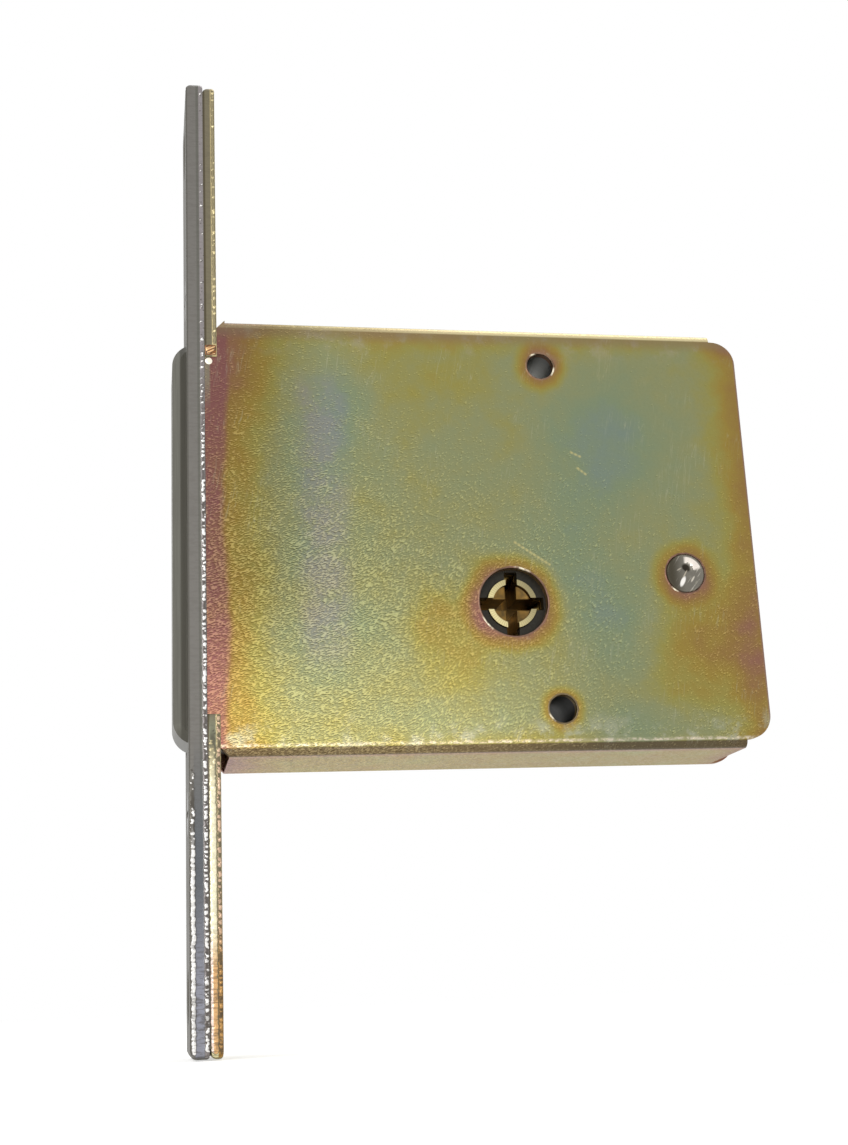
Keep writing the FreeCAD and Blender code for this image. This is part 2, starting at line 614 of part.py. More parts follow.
def plug():
    far = CASE_DEPTH / 2
    nose = rod_y(NOSE_R, BACKSET, KEY_AXIS_Z, NOSE_FRONT_Y, PLUG_FRONT_Y)
    body = rod_y(PLUG_R, BACKSET, KEY_AXIS_Z, PLUG_FRONT_Y, PLUG_REAR_Y)
    collar = rod_y(COLLAR_R, BACKSET, KEY_AXIS_Z, PLUG_REAR_Y, PINION_NEAR_Y)
    hub = hub_section(HUB_FLATS, PINION_NEAR_Y, PINION_FAR_Y)
    journal = rod_y(JOURNAL_R, BACKSET, KEY_AXIS_Z, PINION_FAR_Y, far - FACE_GAP / 2)
    whole = fuse([nose, body, collar, hub, journal])
    recess_r = NOSE_R - NOSE_RIM_WALL
    cuts = [rod_y(recess_r, BACKSET, KEY_AXIS_Z, NOSE_FRONT_Y - OVERCUT, NOSE_FRONT_Y + NOSE_RECESS)]
    cuts.append(key_cross(KEY_SLOT_WIDTH, KEY_SLOT_SPAN, NOSE_FRONT_Y - OVERCUT, KEY_SLOT_END_Y))
    for angle in SIDES.values():
        for y in station_ys():
            floor_r = KEY_PIN_START_R - KEY_PIN_TRAVEL - RUNNING
            cuts.append(radial(CHAMBER_R, floor_r, PLUG_R + OVERCUT, angle, y))
    groove_far = RING_NEAR_Y + RING_THICK + SEAT
    groove = rod_y(JOURNAL_R + OVERCUT, BACKSET, KEY_AXIS_Z, PINION_FAR_Y, groove_far)
    cuts.append(groove.cut(bore_y(RING_GROOVE_R, BACKSET, KEY_AXIS_Z, PINION_FAR_Y, groove_far)))
    half = TAIL_DRIVE_WIDTH / 2
    cuts.append(box(BACKSET - half, BACKSET + half, far - TAIL_DRIVE_DEPTH, far + OVERCUT,
                    KEY_AXIS_Z - JOURNAL_R - OVERCUT, KEY_AXIS_Z + JOURNAL_R + OVERCUT))
    return whole.cut(cuts)


def involute(base_r, radius):
    """Angle swept by the involute of a base circle at a radius."""
    slope = math.sqrt((radius / base_r) ** 2 - 1)
    return slope - math.atan(slope)


def polar(radius, angle, y):
    """Point at an angle from straight down, about the key's axis."""
    return Vector(BACKSET + radius * math.sin(angle), y, KEY_AXIS_Z - radius * math.cos(angle))


def drive_pinion():
    base_r = PITCH_R * math.cos(math.radians(PRESSURE_ANGLE))
    root_r = PITCH_R - RACK_ADDENDUM - ROOT_CLEARANCE
    half_tooth = math.pi / (2 * PINION_TEETH) - FLANK_CLEARANCE / 2 / PITCH_R
    at_pitch = involute(base_r, PITCH_R)
    step = 2 * math.pi / PINION_TEETH
    y = PINION_NEAR_Y
    flank_start = max(base_r, root_r) + TOUCHING
    middle_r = (flank_start + PINION_OUTER_R) / 2

    def flank(radius):
        return half_tooth + at_pitch - involute(base_r, radius)

    edges = []
    for tooth in range(PINION_TEETH):
        centre = (tooth + 0.5) * step
        rise = [polar(r, centre - flank(r), y) for r in (flank_start, middle_r, PINION_OUTER_R)]
        fall = [polar(r, centre + flank(r), y) for r in (PINION_OUTER_R, middle_r, flank_start)]
        root_a = polar(root_r, centre - flank(flank_start), y)
        root_b = polar(root_r, centre + flank(flank_start), y)
        next_root = polar(root_r, centre + step - flank(flank_start), y)
        edges.append(Part.makeLine(root_a, rise[0]))
        edges.append(Part.Arc(*rise).toShape())
        edges.append(Part.Arc(rise[2], polar(PINION_OUTER_R, centre, y), fall[0]).toShape())
        edges.append(Part.Arc(*fall).toShape())
        edges.append(Part.makeLine(fall[2], root_b))
        edges.append(Part.Arc(root_b, polar(root_r, centre + step / 2, y), next_root).toShape())
    gear = Part.Face(Part.Wire(Part.__sortEdges__(edges))).extrude(Vector(0, PINION_THICK, 0))
    hole = bore_y(HUB_R + SEAT, BACKSET, KEY_AXIS_Z, y, PINION_FAR_Y)
    half = HUB_FLATS / 2 + SEAT
    reach = HUB_R + OVERCUT
    keep = box(BACKSET - reach, BACKSET + reach, y - OVERCUT, PINION_FAR_Y + OVERCUT,
               KEY_AXIS_Z - half, KEY_AXIS_Z + half)
    return gear.cut(hole.common(keep))


def retaining_ring():
    """Spring clip in the plug's groove, behind the pinion."""
    far = RING_NEAR_Y + RING_THICK
    ring = rod_y(RING_R, BACKSET, KEY_AXIS_Z, RING_NEAR_Y, far)
    bore = bore_y(RING_GROOVE_R + SEAT, BACKSET, KEY_AXIS_Z, RING_NEAR_Y, far)
    half = RING_MOUTH / 2
    mouth = box(BACKSET - half, BACKSET + half, RING_NEAR_Y - OVERCUT, far + OVERCUT,
                KEY_AXIS_Z - RING_R - OVERCUT, KEY_AXIS_Z - RING_GROOVE_R / 2)
    return ring.cut([bore, mouth])


def rear_bush():
    far = CASE_DEPTH / 2
    flange = rod_y(BUSH_FLANGE_R, BACKSET, KEY_AXIS_Z, BUSH_NEAR_Y, INNER_FAR_Y)
    neck = rod_y(BUSH_NECK_R, BACKSET, KEY_AXIS_Z, INNER_FAR_Y, far)
    bore = bore_y(JOURNAL_R + RUNNING, BACKSET, KEY_AXIS_Z, BUSH_NEAR_Y, far)
    return fuse([flange, neck]).cut(bore)


def bolt_head():
    front = -BOLT_PROUD
    back = BOLT_BACK_X
    half_y = BOLT_THICK / 2
    half_z = BOLT_HEIGHT / 2
    head = box(front, back, -half_y, half_y, -half_z, half_z)
    along_y = Vector(0, 1, 0)
    head = rounded_slab(head, BOLT_NOSE_R, along_y, lambda centre: centre.x < front + TOUCHING)
    rim = []
    for edge in head.Edges:
        on_side = abs(abs(edge.CenterOfMass.y) - half_y) < TOUCHING
        on_nose = edge.BoundBox.XMax < front + BOLT_NOSE_R + TOUCHING
        if on_side and on_nose:
            rim.append(edge)
    head = head.makeChamfer(BOLT_EDGE_CHAMFER, rim)
    cuts = [box(back - TAIL_INSET, back + OVERCUT, TAIL_NEAR_Y, TAIL_FAR_Y,
                -half_z - OVERCUT, half_z + OVERCUT)]
    for z in RIVET_HEIGHTS:
        cuts.append(bore_y(RIVET_R + SEAT, rivet_x(), z, -half_y, half_y))
    for z in ROLLER_HEIGHTS:
        depth = ROLLER_LENGTH + ROLLER_PLUG_LENGTH + 2 * FACE_GAP
        cuts.append(rod_x(ROLLER_BORE_R, ROLLER_AXIS_Y, z, back - depth, back + OVERCUT))
    return head.cut(cuts)


def rivet_x():
    return BOLT_BACK_X - TAIL_INSET / 2


def rack_tooth(centre_x):
    slope = math.tan(math.radians(PRESSURE_ANGLE))
    half_pitch = RACK_PITCH / 4 - FLANK_CLEARANCE / 2
    top = RACK_PITCH_Z + RACK_ADDENDUM
    root = RACK_ROOT_Z
    foot = (root + TAIL_BOTTOM_Z) / 2
    half_top = half_pitch - RACK_ADDENDUM * slope
    half_root = half_pitch + (RACK_PITCH_Z - root) * slope
    points = [(centre_x - half_root, foot), (centre_x + half_root, foot),
              (centre_x + half_root, root), (centre_x + half_top, top),
              (centre_x - half_top, top), (centre_x - half_root, root)]
    return prism_y(points, TAIL_NEAR_Y, TAIL_FAR_Y)


def bolt_tail():
    """Fork that straddles the rear post: a slotted guide arm over the rack arm."""
    start = BOLT_BACK_X - TAIL_INSET
    window_x = BACKSET - PINION_OUTER_R - WINDOW_CLEARANCE
    window_z = KEY_AXIS_Z + PINION_OUTER_R + WINDOW_CLEARANCE
    root = box(start, window_x, TAIL_NEAR_Y, TAIL_FAR_Y, TAIL_BOTTOM_Z, TAIL_TOP_Z)
    guide_arm = box(start, TAIL_END_X, TAIL_NEAR_Y, TAIL_FAR_Y, window_z, TAIL_TOP_Z)
    rack_arm = box(start, RACK_END_X, TAIL_NEAR_Y, TAIL_FAR_Y, TAIL_BOTTOM_Z, RACK_ROOT_Z)
    slot_start = min(GUIDE_POST_XS)
    slot_end = max(GUIDE_POST_XS) + BOLT_THROW
    cuts = [box(slot_start, slot_end, TAIL_NEAR_Y - OVERCUT, TAIL_FAR_Y + OVERCUT,
                GUIDE_Z - GUIDE_SLOT_R, GUIDE_Z + GUIDE_SLOT_R)]
    for x in (slot_start, slot_end):
        cuts.append(bore_y(GUIDE_SLOT_R, x, GUIDE_Z, TAIL_NEAR_Y, TAIL_FAR_Y))
    for z in RIVET_HEIGHTS:
        cuts.append(bore_y(RIVET_R + SEAT, rivet_x(), z, TAIL_NEAR_Y, TAIL_FAR_Y))
    teeth = [rack_tooth(BACKSET + RACK_PITCH * (step - 1)) for step in range(RACK_TEETH)]
    return fuse([fuse([root, guide_arm, rack_arm]).cut(cuts)] + teeth)


def bolt_rivets():
    half_y = BOLT_THICK / 2
    return group([rod_y(RIVET_R, rivet_x(), z, -half_y, half_y) for z in RIVET_HEIGHTS])


def hardened_rollers():
    back = BOLT_BACK_X - ROLLER_PLUG_LENGTH - FACE_GAP
    return group([rod_x(ROLLER_R, ROLLER_AXIS_Y, z, back - ROLLER_LENGTH, back) for z in ROLLER_HEIGHTS])


def roller_plugs():
    back = BOLT_BACK_X
    radius = ROLLER_BORE_R - SEAT
    return group([rod_x(radius, ROLLER_AXIS_Y, z, back - ROLLER_PLUG_LENGTH, back) for z in ROLLER_HEIGHTS])


def guide_posts():
    """Shouldered pins riveted in the cover, in the slot of the bolt's tail."""
    far = CASE_DEPTH / 2
    posts = []
    for x in GUIDE_POST_XS:
        shoulder = rod_y(GUIDE_SHOULDER_R, x, GUIDE_Z, TAIL_FAR_Y + FACE_GAP, INNER_FAR_Y)
        washer_y = TAIL_NEAR_Y - FACE_GAP - GUIDE_WASHER_THICK
        pin = rod_y(GUIDE_PIN_R, x, GUIDE_Z, washer_y - GUIDE_PEEN, far)
        posts.append(fuse([shoulder, pin]))
    return group(posts)


def guide_washers():
    washers = []
    far = TAIL_NEAR_Y - FACE_GAP
    near = far - GUIDE_WASHER_THICK
    for x in GUIDE_POST_XS:
        disc = rod_y(GUIDE_WASHER_R, x, GUIDE_Z, near, far)
        washers.append(disc.cut(bore_y(GUIDE_PIN_R + SEAT, x, GUIDE_Z, near, far)))
    return group(washers)


def all_nodes():
    upper, lower = SIDE_HOLE_SPACING / 2, -SIDE_HOLE_SPACING / 2
    nodes = {
        "case_pan": case_pan(),
        "case_cover": case_cover(),
        "inner_forend": inner_forend(),
        "outer_faceplate": outer_faceplate(),
        "faceplate_screws": faceplate_screws(),
        "rear_post": rear_post(),
        "cover_screw": cover_screw(),
        "upper_sleeve": side_sleeve(upper),
        "lower_sleeve": side_sleeve(lower),
        "guide_posts": guide_posts(),
        "guide_washers": guide_washers(),
        "drill_plate": drill_plate(),
        "cylinder_housing": cylinder_housing(),
        "housing_screws": housing_screws(),
        "chamber_caps": chamber_caps(),
        "rear_bush": rear_bush(),
        "plug": plug(),
        "drive_pinion": drive_pinion(),
        "retaining_ring": retaining_ring(),
        "bolt_head": bolt_head(),
        "bolt_tail": bolt_tail(),
        "bolt_rivets": bolt_rivets(),
        "hardened_rollers": hardened_rollers(),
        "roller_plugs": roller_plugs(),
    }
    for side, angle in SIDES.items():
        nodes["key_pins_" + side] = key_pins(angle)
        nodes["driver_pins_" + side] = driver_pins(angle)
        nodes["driver_springs_" + side] = driver_springs(angle)
    return nodes


def main():
    os.makedirs("parts", exist_ok=True)
    for name, shape in all_nodes().items():
        shape.exportStep("parts/" + name + ".step")
        facts = (name, len(shape.Solids), shape.Volume, shape.isValid())
        print("%-22s %d solid(s) %9.2f mm3 valid %s" % facts)


main()
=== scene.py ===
"""Dresses the mortice deadlock and sets its stage.

Every plate, pin, torn edge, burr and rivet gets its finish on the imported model. Everything is in
metres, in that model's frame: +X into the door, +Y away from the keyed face, +Z up.
"""

import math

import bmesh
import bpy
from bpy.props import FloatProperty, FloatVectorProperty, PointerProperty
from mathutils import Matrix, Vector, noise


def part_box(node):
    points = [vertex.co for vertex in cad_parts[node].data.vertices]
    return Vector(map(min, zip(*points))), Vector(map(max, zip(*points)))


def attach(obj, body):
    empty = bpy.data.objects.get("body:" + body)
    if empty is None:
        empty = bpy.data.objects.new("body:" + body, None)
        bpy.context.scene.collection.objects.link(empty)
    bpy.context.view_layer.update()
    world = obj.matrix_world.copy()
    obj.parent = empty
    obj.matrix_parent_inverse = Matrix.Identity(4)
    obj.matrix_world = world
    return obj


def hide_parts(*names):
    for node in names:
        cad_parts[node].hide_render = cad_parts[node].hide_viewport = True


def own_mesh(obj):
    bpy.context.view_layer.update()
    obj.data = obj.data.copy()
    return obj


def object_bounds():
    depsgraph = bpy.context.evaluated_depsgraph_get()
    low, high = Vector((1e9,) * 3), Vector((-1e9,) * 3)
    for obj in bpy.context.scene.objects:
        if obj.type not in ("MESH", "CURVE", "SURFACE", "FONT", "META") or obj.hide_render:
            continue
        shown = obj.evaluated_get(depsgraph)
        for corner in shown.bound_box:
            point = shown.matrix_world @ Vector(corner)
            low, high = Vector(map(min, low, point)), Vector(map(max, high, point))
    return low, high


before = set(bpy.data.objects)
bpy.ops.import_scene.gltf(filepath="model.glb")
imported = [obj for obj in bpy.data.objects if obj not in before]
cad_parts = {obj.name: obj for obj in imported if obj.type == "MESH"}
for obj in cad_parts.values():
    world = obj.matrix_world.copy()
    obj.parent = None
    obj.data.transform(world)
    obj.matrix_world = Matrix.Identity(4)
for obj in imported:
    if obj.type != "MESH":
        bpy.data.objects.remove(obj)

bl_info = {
    "name": "Mortice Deadlock Finish",
    "version": (1, 0, 0),
    "blender": (4, 5, 0),
    "location": "3D View > Sidebar > Deadlock",
    "description": "Dresses the deadlock's plates, bolt and cylinder and sets its stage",
    "category": "Object",
}

MM = 0.001


def linear(hex_colour):
    """Turns an sRGB hex colour into Blender's linear RGBA."""
    channels = [int(hex_colour[i:i + 2], 16) / 255 for i in (1, 3, 5)]
    return [c / 12.92 if c <= 0.04045 else ((c + 0.055) / 1.055) ** 2.4 for c in channels] + [1.0]


def centre(node):
    """Middle of a node's box."""
    low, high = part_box(node)
    return (Vector(low) + Vector(high)) / 2


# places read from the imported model
CAD_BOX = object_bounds()
CASE_LOW, CASE_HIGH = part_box("case_pan")
INNER_LOW, INNER_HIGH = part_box("inner_forend")
OUTER_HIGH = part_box("outer_faceplate")[1]
FACE_Y = CASE_LOW[1]
FAR_Y = -FACE_Y
SHEET = FAR_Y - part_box("upper_sleeve")[1][1]
HALF_CASE = CASE_HIGH[2]
BACK_X = CASE_HIGH[0]
KEY_AXIS = centre("plug")
REAR_POST = centre("rear_post")
UPPER_HOLE = centre("upper_sleeve")
LOWER_HOLE = centre("lower_sleeve")

# radii of the holes, of the rear post's end and of the plates' corners
KEYHOLE_R = 6.0 * MM
SIDE_HOLE_R = 2.4 * MM
STUB_R = 3.5 * MM
PLATE_END_R = 1.2 * MM

# height at which the case's face goes over into its bends of 1.4 mm radius
FOLD_Z = HALF_CASE - 1.4 * MM

# half height of the case's tab in the forend, and the top of the burr above it
TAB_HALF = 31.1 * MM
BURR_TOP = TAB_HALF + 2.4 * MM

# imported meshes: distance within which corners are welded, and angle up to which faces are flat
WELD = 0.0005 * MM
FLAT_ANGLE = math.radians(0.4)

# angle from which an edge is broken, and area from which a face counts as broad
SHARP_ANGLE = math.radians(35)
BROAD_FACE = 12 * MM * MM

# torn strips: how far they stay inside the plate's faces and short of its ends, the width of their
# cells, and the share of the tear's height by which they lie off the plate where nothing is torn
STRIP_INSET = 0.02 * MM
STRIP_END = 0.25 * MM
STRIP_CELL = 0.12 * MM
STRIP_LIFT = 0.06

# ways in which the four sets of pins lie round the key's axis
PIN_SETS = {"top": (0, 0, 1), "rear": (1, 0, 0), "bottom": (0, 0, -1), "front": (-1, 0, 0)}

# where the passivate is thicker or thinner: x, z, inner and outer radius in mm, change of thickness
FILM_PATCHES = (
    (24.5, 22.0, 0.0, 13.0, -0.22),
    (23.0, 10.0, 0.0, 11.0, -0.16),
    (21.5, -3.0, 0.0, 11.0, -0.13),
    (23.5, -17.0, 0.0, 12.0, -0.11),
    (72.0, 17.0, 3.0, 19.0, -0.24),
    (66.0, -4.0, 2.0, 17.0, -0.15),
    (74.0, -16.0, 2.0, 13.0, -0.15),
    (43.5, -18.5, 3.0, 11.5, 0.18),
    (88.0, -20.0, 2.0, 16.0, 0.26),
    (8.0, 30.0, 2.0, 15.0, 0.16),
    (40.0, 31.0, 0.0, 18.0, 0.12),
    (62.0, 20.0, 0.0, 13.0, 0.06),
    (75.0, -35.0, 0.0, 9.0, -0.16),
)

# interference colours of the film, from thin to thick
FILM_COLOURS = (
    (0.02, "#84837a"), (0.13, "#778579"), (0.26, "#7d896c"), (0.42, "#898b63"), (0.55, "#918a4c"),
    (0.66, "#947f3e"), (0.77, "#8e7140"), (0.87, "#8b6550"), (0.98, "#865a57"),
)

# scored marks on the face: both ends as x and z in mm
SCORES = (
    ((55.7, -1.8), (61.7, -5.8)),
    ((66.9, 14.8), (68.6, 14.0)),
    ((67.9, 11.9), (69.4, 10.7)),
)


class DeadlockSizes(bpy.types.PropertyGroup):
    """Sizes of the small marks that the tools leave."""
    edge_break: FloatProperty(
        name="Edge break", description="Chamfer left on sharp edges by tumbling",
        default=0.10 * MM, subtype="DISTANCE", unit="LENGTH")
    stroke_length: FloatProperty(
        name="Stroke length", description="Length of a stroke in the rolled sheet",
        default=0.62 * MM, subtype="DISTANCE", unit="LENGTH")
    stroke_pitch: FloatProperty(
        name="Stroke pitch", description="Distance from one stroke to the next",
        default=0.19 * MM, subtype="DISTANCE", unit="LENGTH")
    tear_height: FloatProperty(
        name="Tear height", description="How far torn metal stands out of a sheared edge",
        default=0.20 * MM, subtype="DISTANCE", unit="LENGTH")
    tear_length: FloatProperty(
        name="Tear length", description="Height of one torn lump along a sheared edge",
        default=0.42 * MM, subtype="DISTANCE", unit="LENGTH")
    burr_width: FloatProperty(
        name="Burr width", description="Width of the burr round a punched hole",
        default=0.32 * MM, subtype="DISTANCE", unit="LENGTH")


class DeadlockColours(bpy.types.PropertyGroup):
    """Base colours of the finishes."""
    # nickel is kept dark, as painted shade for the faceplate's front face
    nickel: FloatVectorProperty(
        name="Nickel", description="Satin nickel plate",
        default=linear("#68655e"), size=4, subtype="COLOR", min=0, max=1)
    steel: FloatVectorProperty(
        name="Bright steel", description="Turned bare steel",
        default=linear("#9a9a98"), size=4, subtype="COLOR", min=0, max=1)
    hardened: FloatVectorProperty(
        name="Hardened steel", description="Oil blackened hardened steel",
        default=linear("#2e2c26"), size=4, subtype="COLOR", min=0, max=1)
    brass: FloatVectorProperty(
        name="Brass", description="Turned brass",
        default=linear("#c9ae68"), size=4, subtype="COLOR", min=0, max=1)


def add_node(tree, kind, sockets=None, **settings):
    """Adds a shader node with its settings, and sets its sockets or links them to other nodes."""
    node = tree.nodes.new("ShaderNode" + kind)
    for name, value in settings.items():
        setattr(node, name, value)
    for key, value in (sockets or {}).items():
        if isinstance(value, bpy.types.Node):
            value = next(out for out in value.outputs if out.enabled)
        if isinstance(value, bpy.types.NodeSocket):
            tree.links.new(value, node.inputs[key])
        else:
            node.inputs[key].default_value = value
    return node


def new_material(name):
    """Empty node material and the object's own coordinates."""
    material = bpy.data.materials.new(name)
    material.use_nodes = True
    tree = material.node_tree
    tree.nodes.clear()
    return material, tree, add_node(tree, "TexCoord").outputs["Object"]


def close_metal(tree, colour, metallic, roughness, *reliefs):
    """Closes a material as metal; each relief is a height, a strength and a depth in mm."""
    surface = {"Base Color": colour, "Metallic": metallic, "Roughness": roughness}
    for height, strength, depth in reliefs:
        sockets = {"Strength": strength, "Distance": depth * MM, "Height": height}
        if "Normal" in surface:
            sockets["Normal"] = surface["Normal"]
        surface["Normal"] = add_node(tree, "Bump", sockets)
    shader = add_node(tree, "BsdfPrincipled", surface)
    add_node(tree, "OutputMaterial", {"Surface": shader})


def masked(tree, limits, shape="LINEAR", mask=None):
    """Product of ramps; each is a value, the two values it runs between and its height at both."""
    for value, start, end, low, high in limits:
        ramp = add_node(tree, "MapRange", {0: value, 1: start, 2: end, 3: low, 4: high},
                        interpolation_type=shape)
        mask = ramp if mask is None else add_node(
            tree, "Math", {0: mask, 1: ramp}, operation="MULTIPLY")
    return mask


def lay_tones(tree, colour, layers):
    """Lays tones, as hex colours or from nodes, over a colour, each as far as its mask lets it."""
    for mask, tone in layers:
        tone = linear(tone) if isinstance(tone, str) else tone
        colour = add_node(tree, "Mix", {0: mask, 6: colour, 7: tone}, data_type="RGBA")
    return colour


def grain_noise(tree, place, size, turn=0, **sockets):
    """Noise stretched to a grain of the given size in metres, turned about y by some degrees."""
    lie = add_node(tree, "Mapping", {
        "Vector": place, "Rotation": (0, math.radians(turn), 0), "Scale": size},
        vector_type="TEXTURE")
    return add_node(tree, "TexNoise", {"Vector": lie, "Scale": 1.0, "Detail": 3.0, **sockets})


def round_axis(tree, place, middle):
    """Coordinates from an axis along y, and the place in the plane across it."""
    local = add_node(tree, "VectorMath", {0: place, 1: (middle.x, 0, middle.z)},
                     operation="SUBTRACT")
    x, y, z = add_node(tree, "SeparateXYZ", {0: local}).outputs
    return x, y, z, add_node(tree, "CombineXYZ", {0: x, 2: z})


def film_thickness(tree, place):
    """Thickness of the passivate from 0 to 1: clouds, thicker at edges and round every hole."""
    cloud = add_node(tree, "TexNoise", {"Vector": place, "Scale": 1 / (18 * MM), "Detail": 2.0})
    off_centre = add_node(tree, "VectorMath", {0: cloud.outputs["Color"], 1: (0.5, 0.5, 0.5)},
                          operation="SUBTRACT")
    drift = add_node(tree, "VectorMath", {0: off_centre, "Scale": 9 * MM}, operation="SCALE")
    wandering = add_node(tree, "VectorMath", {0: place, 1: drift}, operation="ADD")
    slight = add_node(tree, "VectorMath", {0: drift, "Scale": 0.35}, operation="SCALE")
    swaying = add_node(tree, "VectorMath", {0: place, 1: slight}, operation="ADD")
    x, y, z = add_node(tree, "SeparateXYZ", {0: swaying}).outputs
    patches = [(px * MM, pz * MM, inner * MM, outer * MM, change)
               for px, pz, inner, outer, change in FILM_PATCHES]
    # each: the hole, its radius, how far its halo reaches, and how much thicker the film is there
    halos = [(hole.x, hole.z, radius, radius + reach, change) for hole, radius, reach, change in (
        (KEY_AXIS, KEYHOLE_R, 4.4 * MM, 0.42),
        (UPPER_HOLE, SIDE_HOLE_R, 3.6 * MM, 0.40),
        (LOWER_HOLE, SIDE_HOLE_R, 2.4 * MM, 0.30),
        (REAR_POST, STUB_R, 4.0 * MM, 0.31),
    )]
    ramps = []
    for source, spots in ((wandering, patches), (place, halos)):
        for px, pz, inner, outer, change in spots:
            away = add_node(tree, "VectorMath", {0: source, 1: (px, FACE_Y, pz)},
                            operation="DISTANCE")
            ramps.append((away, inner, outer, change))
    # the edges: beside the forend in two steps, the back, the top, the bottom and the flanges
    ramps += [
        (x, 3 * MM, 18 * MM, 0.31),
        (x, 5.4 * MM, 7.4 * MM, 0.24),
        (x, BACK_X, BACK_X - 10 * MM, 0.32),
        (z, HALF_CASE, HALF_CASE - 6 * MM, 0.20),
        (z, -HALF_CASE, 4 * MM - HALF_CASE, 0.10),
        (y, FACE_Y + 2.5 * MM, FACE_Y + 0.8 * MM, 0.12),
    ]
    fine = add_node(tree, "TexNoise", {
        "Vector": place, "Scale": 1 / (6 * MM), "Detail": 4.0, "Roughness": 0.6})
    total = add_node(tree, "MapRange", {0: fine, 1: 0.3, 2: 0.7, 3: 0.36, 4: 0.49})
    for value, near, far, change in ramps:
        ramp = add_node(tree, "MapRange", {0: value, 1: near, 2: far, 3: change, 4: 0.0},
                        interpolation_type="SMOOTHSTEP")
        total = add_node(tree, "Math", {0: total, 1: ramp}, operation="ADD")
    return total


def passivate_colour(tree, thickness):
    """Interference colour of the chromate film by its thickness."""
    ramp = add_node(tree, "ValToRGB", {0: thickness})
    while len(ramp.color_ramp.elements) < len(FILM_COLOURS):
        ramp.color_ramp.elements.new(0.5)
    for element, (position, colour) in zip(ramp.color_ramp.elements, FILM_COLOURS):
        element.position = position
        element.color = linear(colour)
    return ramp


def rolled_strokes(tree, place, sizes):
    """Slanting strokes of the rolled sheet: where each gets painted highlight and where painted
    shade, and how close.

    They are drawn coarser than the real ones, so that they show.
    """
    warp = add_node(tree, "TexNoise", {"Vector": place, "Scale": 1 / (2.5 * MM), "Detail": 1.0})
    shift = add_node(tree, "VectorMath", {0: warp.outputs["Color"], "Scale": 0.30 * MM},
                     operation="SCALE")
    bent = add_node(tree, "VectorMath", {0: place, 1: shift}, operation="ADD")
    x, _, z = add_node(tree, "SeparateXYZ", {0: place}).outputs
    # the strokes lie flatter, and far closer, low on the forend side than at the top rear; their
    # crowding there is painted light, where the light's reflection falls
    across = add_node(tree, "MapRange", {0: x, 1: 30 * MM, 2: 78 * MM, 3: 0.50, 4: -0.05})
    down = add_node(tree, "MapRange", {0: z, 1: -10 * MM, 2: 34 * MM, 3: 0.55, 4: -0.05})
    glint_crowding = add_node(tree, "Math", {0: across, 1: down}, operation="ADD", use_clamp=True)
    patchy = add_node(tree, "TexNoise", {"Vector": place, "Scale": 1 / (7 * MM), "Detail": 2.0})
    steep = add_node(tree, "MapRange", {0: patchy, 1: 0.3, 2: 0.7, 3: -0.35, 4: 0.35})
    turning = add_node(tree, "MapRange", {0: x, 1: 18 * MM, 2: 55 * MM, 3: 0.0, 4: 1.0})
    steep = add_node(tree, "Math", {0: steep, 1: turning}, operation="ADD", use_clamp=True)
    start = add_node(tree, "MapRange", {0: glint_crowding, 1: 0.0, 2: 1.0, 3: 0.70, 4: 0.475})
    end = add_node(tree, "Math", {0: start, 1: 0.10}, operation="ADD")
    size = (sizes.stroke_length, sizes.stroke_pitch, sizes.stroke_pitch)
    flat_lie, steep_lie = -19, -43
    marks = []
    # painted highlight on each stroke, and painted shade on its upper side
    for offset in ((0.0, 0.0, 0.0), (0.10 * MM, 0.0, 0.16 * MM)):
        moved = add_node(tree, "VectorMath", {0: bent, 1: offset}, operation="ADD")
        flat, slanting = (grain_noise(tree, moved, size, turn, Detail=1.0)
                          for turn in (flat_lie, steep_lie))
        field = add_node(tree, "Mix", {0: steep, 2: flat, 3: slanting})
        marks.append(add_node(tree, "MapRange", {0: field, 1: start, 2: end, 3: 0.0, 4: 1.0}))
    return marks[0], marks[1], glint_crowding


def scored_marks(tree, place):
    """The few long scores on the face, ribbed where the tool chattered."""
    total = None
    for (x0, z0), (x1, z1) in SCORES:
        start = Vector((x0 * MM, FACE_Y, z0 * MM))
        run = Vector((x1 * MM, FACE_Y, z1 * MM)) - start
        local = add_node(tree, "VectorMath", {0: place, 1: start}, operation="SUBTRACT")
        along = add_node(tree, "VectorMath", {0: local, 1: run / run.length_squared},
                         operation="DOT_PRODUCT")
        held = add_node(tree, "Clamp", {0: along})
        foot = add_node(tree, "VectorMath", {0: run, "Scale": held}, operation="SCALE")
        away = add_node(tree, "VectorMath", {0: local, 1: foot}, operation="DISTANCE")
        # 8 radians of the sine in a mm make one rib in every 0.8 mm
        turns = add_node(tree, "Math", {0: along, 1: run.length / MM * 8.0}, operation="MULTIPLY")
        ribs = add_node(tree, "Math", {0: turns}, operation="SINE")
        line = masked(tree, ((away, 0.10 * MM, 0.28 * MM, 1.0, 0.0),
                             (ribs, -1.0, 1.0, 0.35, 1.0)))
        total = line if total is None else add_node(
            tree, "Math", {0: total, 1: line}, operation="MAXIMUM")
    return total


def handling_scratches(tree, place):
    """Faint wavering lines, mostly upright, from handling."""
    streak = grain_noise(tree, place, (15 * MM, 3 * MM, 1.0 * MM), -80, Distortion=0.6)
    ridge = add_node(tree, "Math", {0: streak, 1: 0.5}, operation="SUBTRACT")
    ridge = add_node(tree, "Math", {0: ridge}, operation="ABSOLUTE")
    where = add_node(tree, "TexNoise", {"Vector": place, "Scale": 1 / (9 * MM), "Detail": 2.0})
    return masked(tree, ((ridge, 0.0, 0.014, 1.0, 0.0), (where, 0.50, 0.62, 0.0, 1.0)))


